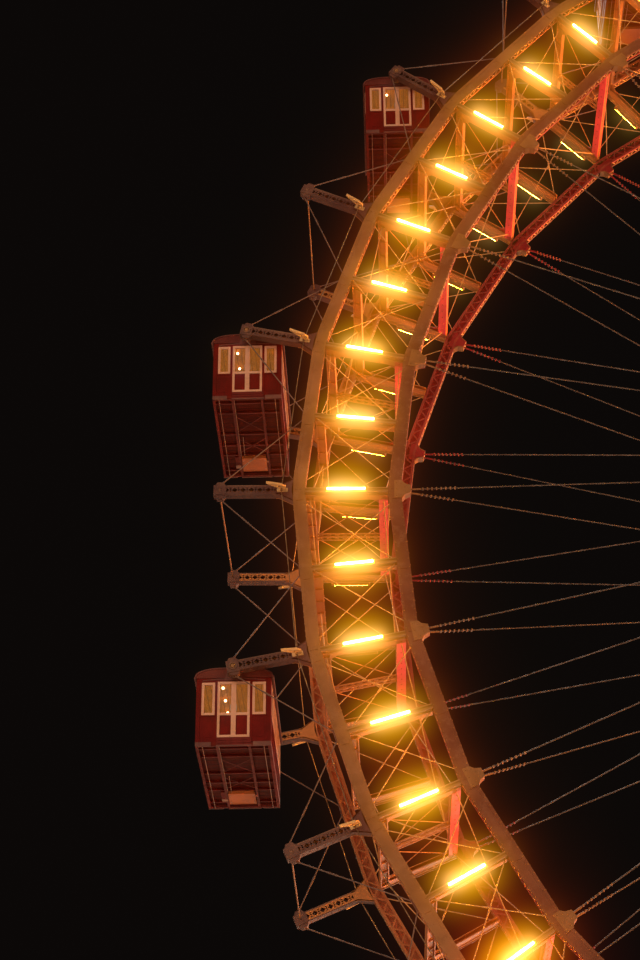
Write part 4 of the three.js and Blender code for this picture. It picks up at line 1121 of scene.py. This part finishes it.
def head(iron, sizes):
    """A deck of plate girders over the four legs and the split block that holds the axle: its lower half and its cap
    are carried round the bore as a profile whose outside follows the block's outline."""
    top, low_web, high_web = HEAD_TOP, LEG_TOP + 0.03, HEAD_TOP - 0.03
    low, high = sorted((iron.side * 4.85, iron.side * 6.95))
    rows = [(-1.45, low, high_web, 1.45, high, top), (-1.45, low, LEG_TOP, 1.45, high, low_web)]
    for y in (low + 0.05, low + 0.7, high - 0.7, high - 0.05):
        rows.append((-1.42, y - 0.015, low_web, 1.42, y + 0.015, high_web))
        rows += [(x - 0.012, y - 0.05, low_web, x + 0.012, y + 0.05, high_web) for x in np.linspace(-1.3, 1.3, 8)]
    rows += [(x - 0.015, low + 0.02, low_web, x + 0.015, high - 0.02, high_web) for x in (-1.4, 1.4)]
    for y, way in ((low, -1), (high, 1)):
        rivets = [(x, y, z) for z in (LEG_TOP + 0.015, top - 0.015) for x in np.linspace(-1.38, 1.38, 24)]
        iron.studs(rivets, Y * way, sizes.rivet * 0.8, "tower_paint")
    inner, outer = sorted((iron.side * 4.95, iron.side * 5.38))
    angle = 2 * math.pi * (np.arange(32) + 0.5) / 32
    c, s = np.abs(np.cos(angle)), np.sin(angle)
    reach = np.minimum(0.62 / c, np.where(s < 0, (HUB_HEIGHT - top) / np.abs(s), 0.56))
    profile = [(0, inner), (1, inner + 0.03), (1, outer - 0.03), (0, outer)]
    iron.eyes(profile, Z * HUB_HEIGHT, angle, 0.265, reach, "tower_paint")
    rows.append((-0.72, inner - 0.03, top, 0.72, outer + 0.03, top + 0.07))
    iron.blocks(rows, "tower_paint")
    middle = (inner + outer) / 2
    bolts = np.array([(x, middle + shift, HUB_HEIGHT) for x in (-0.5, 0.5) for shift in (-0.11, 0.11)])
    iron.rods(bolts - Z * 0.1, bolts + Z * 0.34, 0.035, "axle_steel")
    iron.studs(bolts + Z * 0.26, Z, 0.075, "axle_steel", 0.9, 6)


# Stage

WARM, PALE, AMBER = (1.0, 0.72, 0.50), (1.0, 0.93, 0.86), (1.0, 0.32, 0.06)
CAMERA_PLACE = (-12.64183, -30.43926, 0.535)
CAMERA_YAW, CAMERA_PITCH, CAMERA_ROLL = -0.03304767, 0.53430236, -0.00699909

# Widths of the halos, as a share of the picture's width, and their tones
HALOS = ((0.030, (0.05, 0.060, 0.26)), (0.075, (0.072, 0.122, 0.0)), (0.125, (0.090, 0.016, 0.0)),
         (0.24, (0.014, 0.0, 0.0)))


def add_light(name, kind, energy, tone, aim, up, place=(0.0, 0.0, 0.0), **shape):
    """A light that shines along the aim, and that the camera doesn't see."""
    light = bpy.data.lights.new(name, kind)
    for key, value in {"energy": energy, "color": tone, **shape}.items():
        setattr(light, key, value)
    lamp = bpy.data.objects.new(name, light)
    lamp.location, lamp.visible_camera = place, False
    lamp.rotation_euler = Vector(aim).to_track_quat("-Z", up).to_euler()
    bpy.context.scene.collection.objects.link(lamp)


def stage(colours, studio):
    """A wide pale floor, a plain dark surround, soft suns, and the camera that was fitted to the photograph's frame."""
    scene = bpy.context.scene
    mesh = bpy.data.meshes.new("studio_floor")
    steps = np.linspace(-420, 420, 13)
    x, y = np.meshgrid(steps, steps)
    index = np.arange(x.size).reshape(x.shape)
    faces = np.stack([index[:-1, :-1], index[:-1, 1:], index[1:, 1:], index[1:, :-1]], -1).reshape(-1, 4)
    mesh.from_pydata(np.stack([x.ravel(), y.ravel(), np.zeros(x.size)], -1).tolist(), [], faces.tolist())
    mesh.materials.append(material("studio_floor"))
    floor = bpy.data.objects.new("studio_floor", mesh)
    scene.collection.objects.link(floor)
    scene.world = bpy.data.worlds.new("studio")
    scene.world.use_nodes = True
    background = scene.world.node_tree.nodes["Background"]
    background.inputs["Color"].default_value = tint(colours.backdrop)
    background.inputs["Strength"].default_value = 1.0
    suns = (("key", studio.key, WARM, (0.45, 0.85, -0.22), 30), ("fill", studio.fill, WARM, (-0.25, 0.85, -0.25), 60),
            ("top", studio.top, PALE, (0.2, -0.5, -0.85), 50), ("back", studio.key * 0.7, WARM, (-0.3, -0.9, -0.3), 60),
            ("side", studio.side, AMBER, (-0.96, -0.2, -0.10), 20))
    for name, energy, tone, aim, width in suns:
        add_light(name, "SUN", energy, tone, aim, "Y", angle=math.radians(width))
    for name, side in SIDES.items():
        add_light(f"{name}_low", "AREA", studio.low, WARM, (0.0, -side * 0.75, 0.66), "X", (-4.0, side * 24.0, 0.4),
                  shape="RECTANGLE", size=34.0, size_y=8.0)
    camera(scene)
    scene.view_settings.view_transform = "Standard"
    glow(scene, studio.halo)


def camera(scene):
    """Looks along (sin yaw cos pitch, cos yaw cos pitch, sin pitch), with its right and up turned by the roll."""
    yaw, pitch, roll = CAMERA_YAW, CAMERA_PITCH, CAMERA_ROLL
    forward = Vector((math.sin(yaw) * math.cos(pitch), math.cos(yaw) * math.cos(pitch), math.sin(pitch)))
    level = Vector((math.cos(yaw), -math.sin(yaw), 0.0))
    upward = level.cross(forward)
    right = level * math.cos(roll) + upward * math.sin(roll)
    up = upward * math.cos(roll) - level * math.sin(roll)
    lens = bpy.data.cameras.new("camera")
    lens.lens, lens.sensor_width, lens.clip_end = 76.955, 36.0, 2000.0
    eye = bpy.data.objects.new("camera", lens)
    eye.matrix_world = Matrix.Translation(CAMERA_PLACE) @ Matrix((right, up, -forward)).transposed().to_4x4()
    scene.collection.objects.link(eye)
    scene.camera = eye


def glow(scene, power):
    """Halos round the lamps: their light blurred over four widths, from yellow to red, and a thin wide fog over it."""
    scene.use_nodes = True
    scene.node_tree.nodes.clear()
    picture = Shade(scene.node_tree).node("CompositorNodeRLayers")
    sockets = {"Image": picture, "Threshold": 1.5, "Strength": 0.085 * power, "Size": 0.8, "Tint": (0.8, 1.0, 0.1, 1.0)}
    result = picture.node("CompositorNodeGlare", sockets, glare_type="FOG_GLOW", quality="HIGH")
    lights = result.other("Highlights")
    for width, tone in HALOS:
        reach = picture.node("CompositorNodeRelativeToPixel", {1: width, "Image": picture}, data_type="FLOAT",
                             reference_dimension="X")
        blurred = picture.node("CompositorNodeBlur", {"Image": lights, "Size": reach})
        toned = picture.node("CompositorNodeMixRGB", {1: blurred, 2: tuple(part * power for part in tone) + (1.0,)},
                             blend_type="MULTIPLY")
        result = picture.node("CompositorNodeMixRGB", {1: result, 2: toned}, blend_type="ADD")
    picture.node("CompositorNodeComposite", {"Image": result})


# Operators

class Step:
    """What the operators share. The pieces are rows of (name, what builds it, slot, the node that it stands for): pairs
    go on both sides of the wheel, and singles once."""
    bl_options = {"REGISTER", "UNDO"}
    body, origin, pairs, singles = "wheel", HUB, (), ()

    def execute(self, context):
        rows = [(f"{label}_", side, self.pairs) for label, side in SIDES.items()] + [("", 1, self.singles)]
        for label, side, pieces in rows:
            for name, build, slot, node in pieces:
                solids = Solids(side)
                build(solids, context.scene.ferris_sizes)
                make_piece(label + name, solids, self.body, self.origin, [label + node] if node else [])
        return {"FINISHED"}


class CabinStep(Step):
    """Puts each of its pieces in all of the cabins."""

    def execute(self, context):
        for name, build, slot, node in self.pieces:
            solids = Solids()
            build(solids, context.scene.ferris_sizes)
            for cabin in CABINS:
                stands_for = [f"{cabin}_{node}"] if node else []
                make_piece(f"{cabin}_{name}", solids, cabin, JOINTS[f"{cabin}_pivot"], stands_for)
        return {"FINISHED"}


class FERRIS_OT_rings(Step, bpy.types.Operator):
    """Build both rings with their chords, posts and rods"""
    bl_idname, bl_label = "ferris.rings", "Rings"
    pairs = [("ring_iron", ring, "rim_iron", "ring")]


class FERRIS_OT_arms(Step, bpy.types.Operator):
    """Build the laced arms, their blocks and ties, and the gussets"""
    bl_idname, bl_label = "ferris.arms", "Arms"
    pairs = [("arms", arms, "rim_iron", "ring"), ("gussets", gussets, "rim_iron", "ring")]


class FERRIS_OT_guides(Step, bpy.types.Operator):
    """Build the drive ropes and their guides"""
    bl_idname, bl_label = "ferris.guides", "Drive ropes and guides"
    pairs = [("rope", rope, "drive_rope", "drive_rope"), ("guides", guides, "rim_iron", "")]


class FERRIS_OT_cross_frames(Step, bpy.types.Operator):
    """Build the frames between the rings"""
    bl_idname, bl_label = "ferris.cross_frames", "Cross frames"
    singles = [("cross_iron", cross_frames, "cross_iron", "cross_frames")]


class FERRIS_OT_cables(Step, bpy.types.Operator):
    """Build the spoke cables and the axle"""
    bl_idname, bl_label = "ferris.cables", "Cables and axle"
    pairs = [("cables", cables, "cable_steel", "spokes")]
    singles = [("axle_turned", axle, "axle_steel", "axle")]


class FERRIS_OT_lamps(Step, bpy.types.Operator):
    """Build the lamp tubes on both rings"""
    bl_idname, bl_label = "ferris.lamps", "Lamps"
    pairs = [("lamps", lamps, "lamp_glass", "")]


class FERRIS_OT_shells(CabinStep, bpy.types.Operator):
    """Build the cabins' walls, floors and ceilings"""
    bl_idname, bl_label = "ferris.shells", "Cabin walls"
    pieces = [("walls", shell, "cabin_red", "body")]


class FERRIS_OT_joinery(CabinStep, bpy.types.Operator):
    """Build the cabins' doors, window frames and panes"""
    bl_idname, bl_label = "ferris.joinery", "Doors and windows"
    pieces = [("joinery", joinery, "joinery_white", ""), ("door_panels", door_panels, "cabin_red", ""),
              ("glass", glass, "window_glass", "")]


class FERRIS_OT_roofs(CabinStep, bpy.types.Operator):
    """Build the cabins' roofs with their pins"""
    bl_idname, bl_label = "ferris.roofs", "Cabin roofs"
    pieces = [("vault", roof, "cabin_roof", "roof")]


class FERRIS_OT_underframes(CabinStep, bpy.types.Operator):
    """Build the cabins' underframes, lockers and steps"""
    bl_idname, bl_label = "ferris.underframes", "Cabin underframes"
    pieces = [("underframe", underframe, "cabin_red", "body")]


class FERRIS_OT_bulbs(CabinStep, bpy.types.Operator):
    """Build the bulbs below the cabins' ceilings"""
    bl_idname, bl_label = "ferris.bulbs", "Cabin bulbs"
    pieces = [("bulbs", bulbs, "lamp_glass", "")]


class FERRIS_OT_legs(Step, bpy.types.Operator):
    """Build the eight lattice legs"""
    bl_idname, bl_label = "ferris.legs", "Tower legs"
    body, origin = "towers", (0.0, 0.0, 0.0)
    pairs = [(f"{hand}_{which}_leg_lattice", partial(leg, side, which), "tower_iron", f"{hand}_{which}_leg")
             for hand, side in (("left", -1), ("right", 1)) for which in ("inner", "outer")]


class FERRIS_OT_heads(Step, bpy.types.Operator):
    """Build the tower heads and axle bearings"""
    bl_idname, bl_label = "ferris.heads", "Tower heads"
    body, origin = "towers", (0.0, 0.0, 0.0)
    pairs = [("head", head, "tower_iron", "tower_head")]


class FERRIS_OT_stage(bpy.types.Operator):
    """Build the floor, the lights, the camera and the halo"""
    bl_idname, bl_label = "ferris.stage", "Stage"
    bl_options = {"REGISTER", "UNDO"}

    def execute(self, context):
        stage(context.scene.ferris_colours, context.scene.ferris_studio)
        return {"FINISHED"}


OPERATORS = [FERRIS_OT_rings, FERRIS_OT_arms, FERRIS_OT_guides, FERRIS_OT_cross_frames, FERRIS_OT_cables,
             FERRIS_OT_lamps, FERRIS_OT_shells, FERRIS_OT_joinery, FERRIS_OT_roofs, FERRIS_OT_underframes,
             FERRIS_OT_bulbs, FERRIS_OT_legs, FERRIS_OT_heads, FERRIS_OT_stage]
SETTINGS = {"ferris_sizes": FERRIS_PG_sizes, "ferris_colours": FERRIS_PG_colours, "ferris_studio": FERRIS_PG_studio}


class FERRIS_PT_panel(bpy.types.Panel):
    """Lists the wheel's pieces and settings"""
    bl_idname, bl_label = "FERRIS_PT_panel", "Ferris Wheel"
    bl_space_type, bl_region_type, bl_category = "VIEW_3D", "UI", "Ferris Wheel"

    def draw(self, context):
        for name, group in SETTINGS.items():
            box = self.layout.box()
            for setting in group.__annotations__:
                box.prop(getattr(context.scene, name), setting)
        for operator in OPERATORS:
            self.layout.operator(operator.bl_idname)


CLASSES = list(SETTINGS.values()) + OPERATORS + [FERRIS_PT_panel]


def register():
    for item in CLASSES:
        bpy.utils.register_class(item)
    for name, group in SETTINGS.items():
        setattr(bpy.types.Scene, name, bpy.props.PointerProperty(type=group))


def unregister():
    for name in SETTINGS:
        delattr(bpy.types.Scene, name)
    for item in reversed(CLASSES):
        bpy.utils.unregister_class(item)


def main():
    register()
    for operator in OPERATORS:
        family, name = operator.bl_idname.split(".")
        getattr(getattr(bpy.ops, family), name)()


if __name__ == "__main__":
    main()
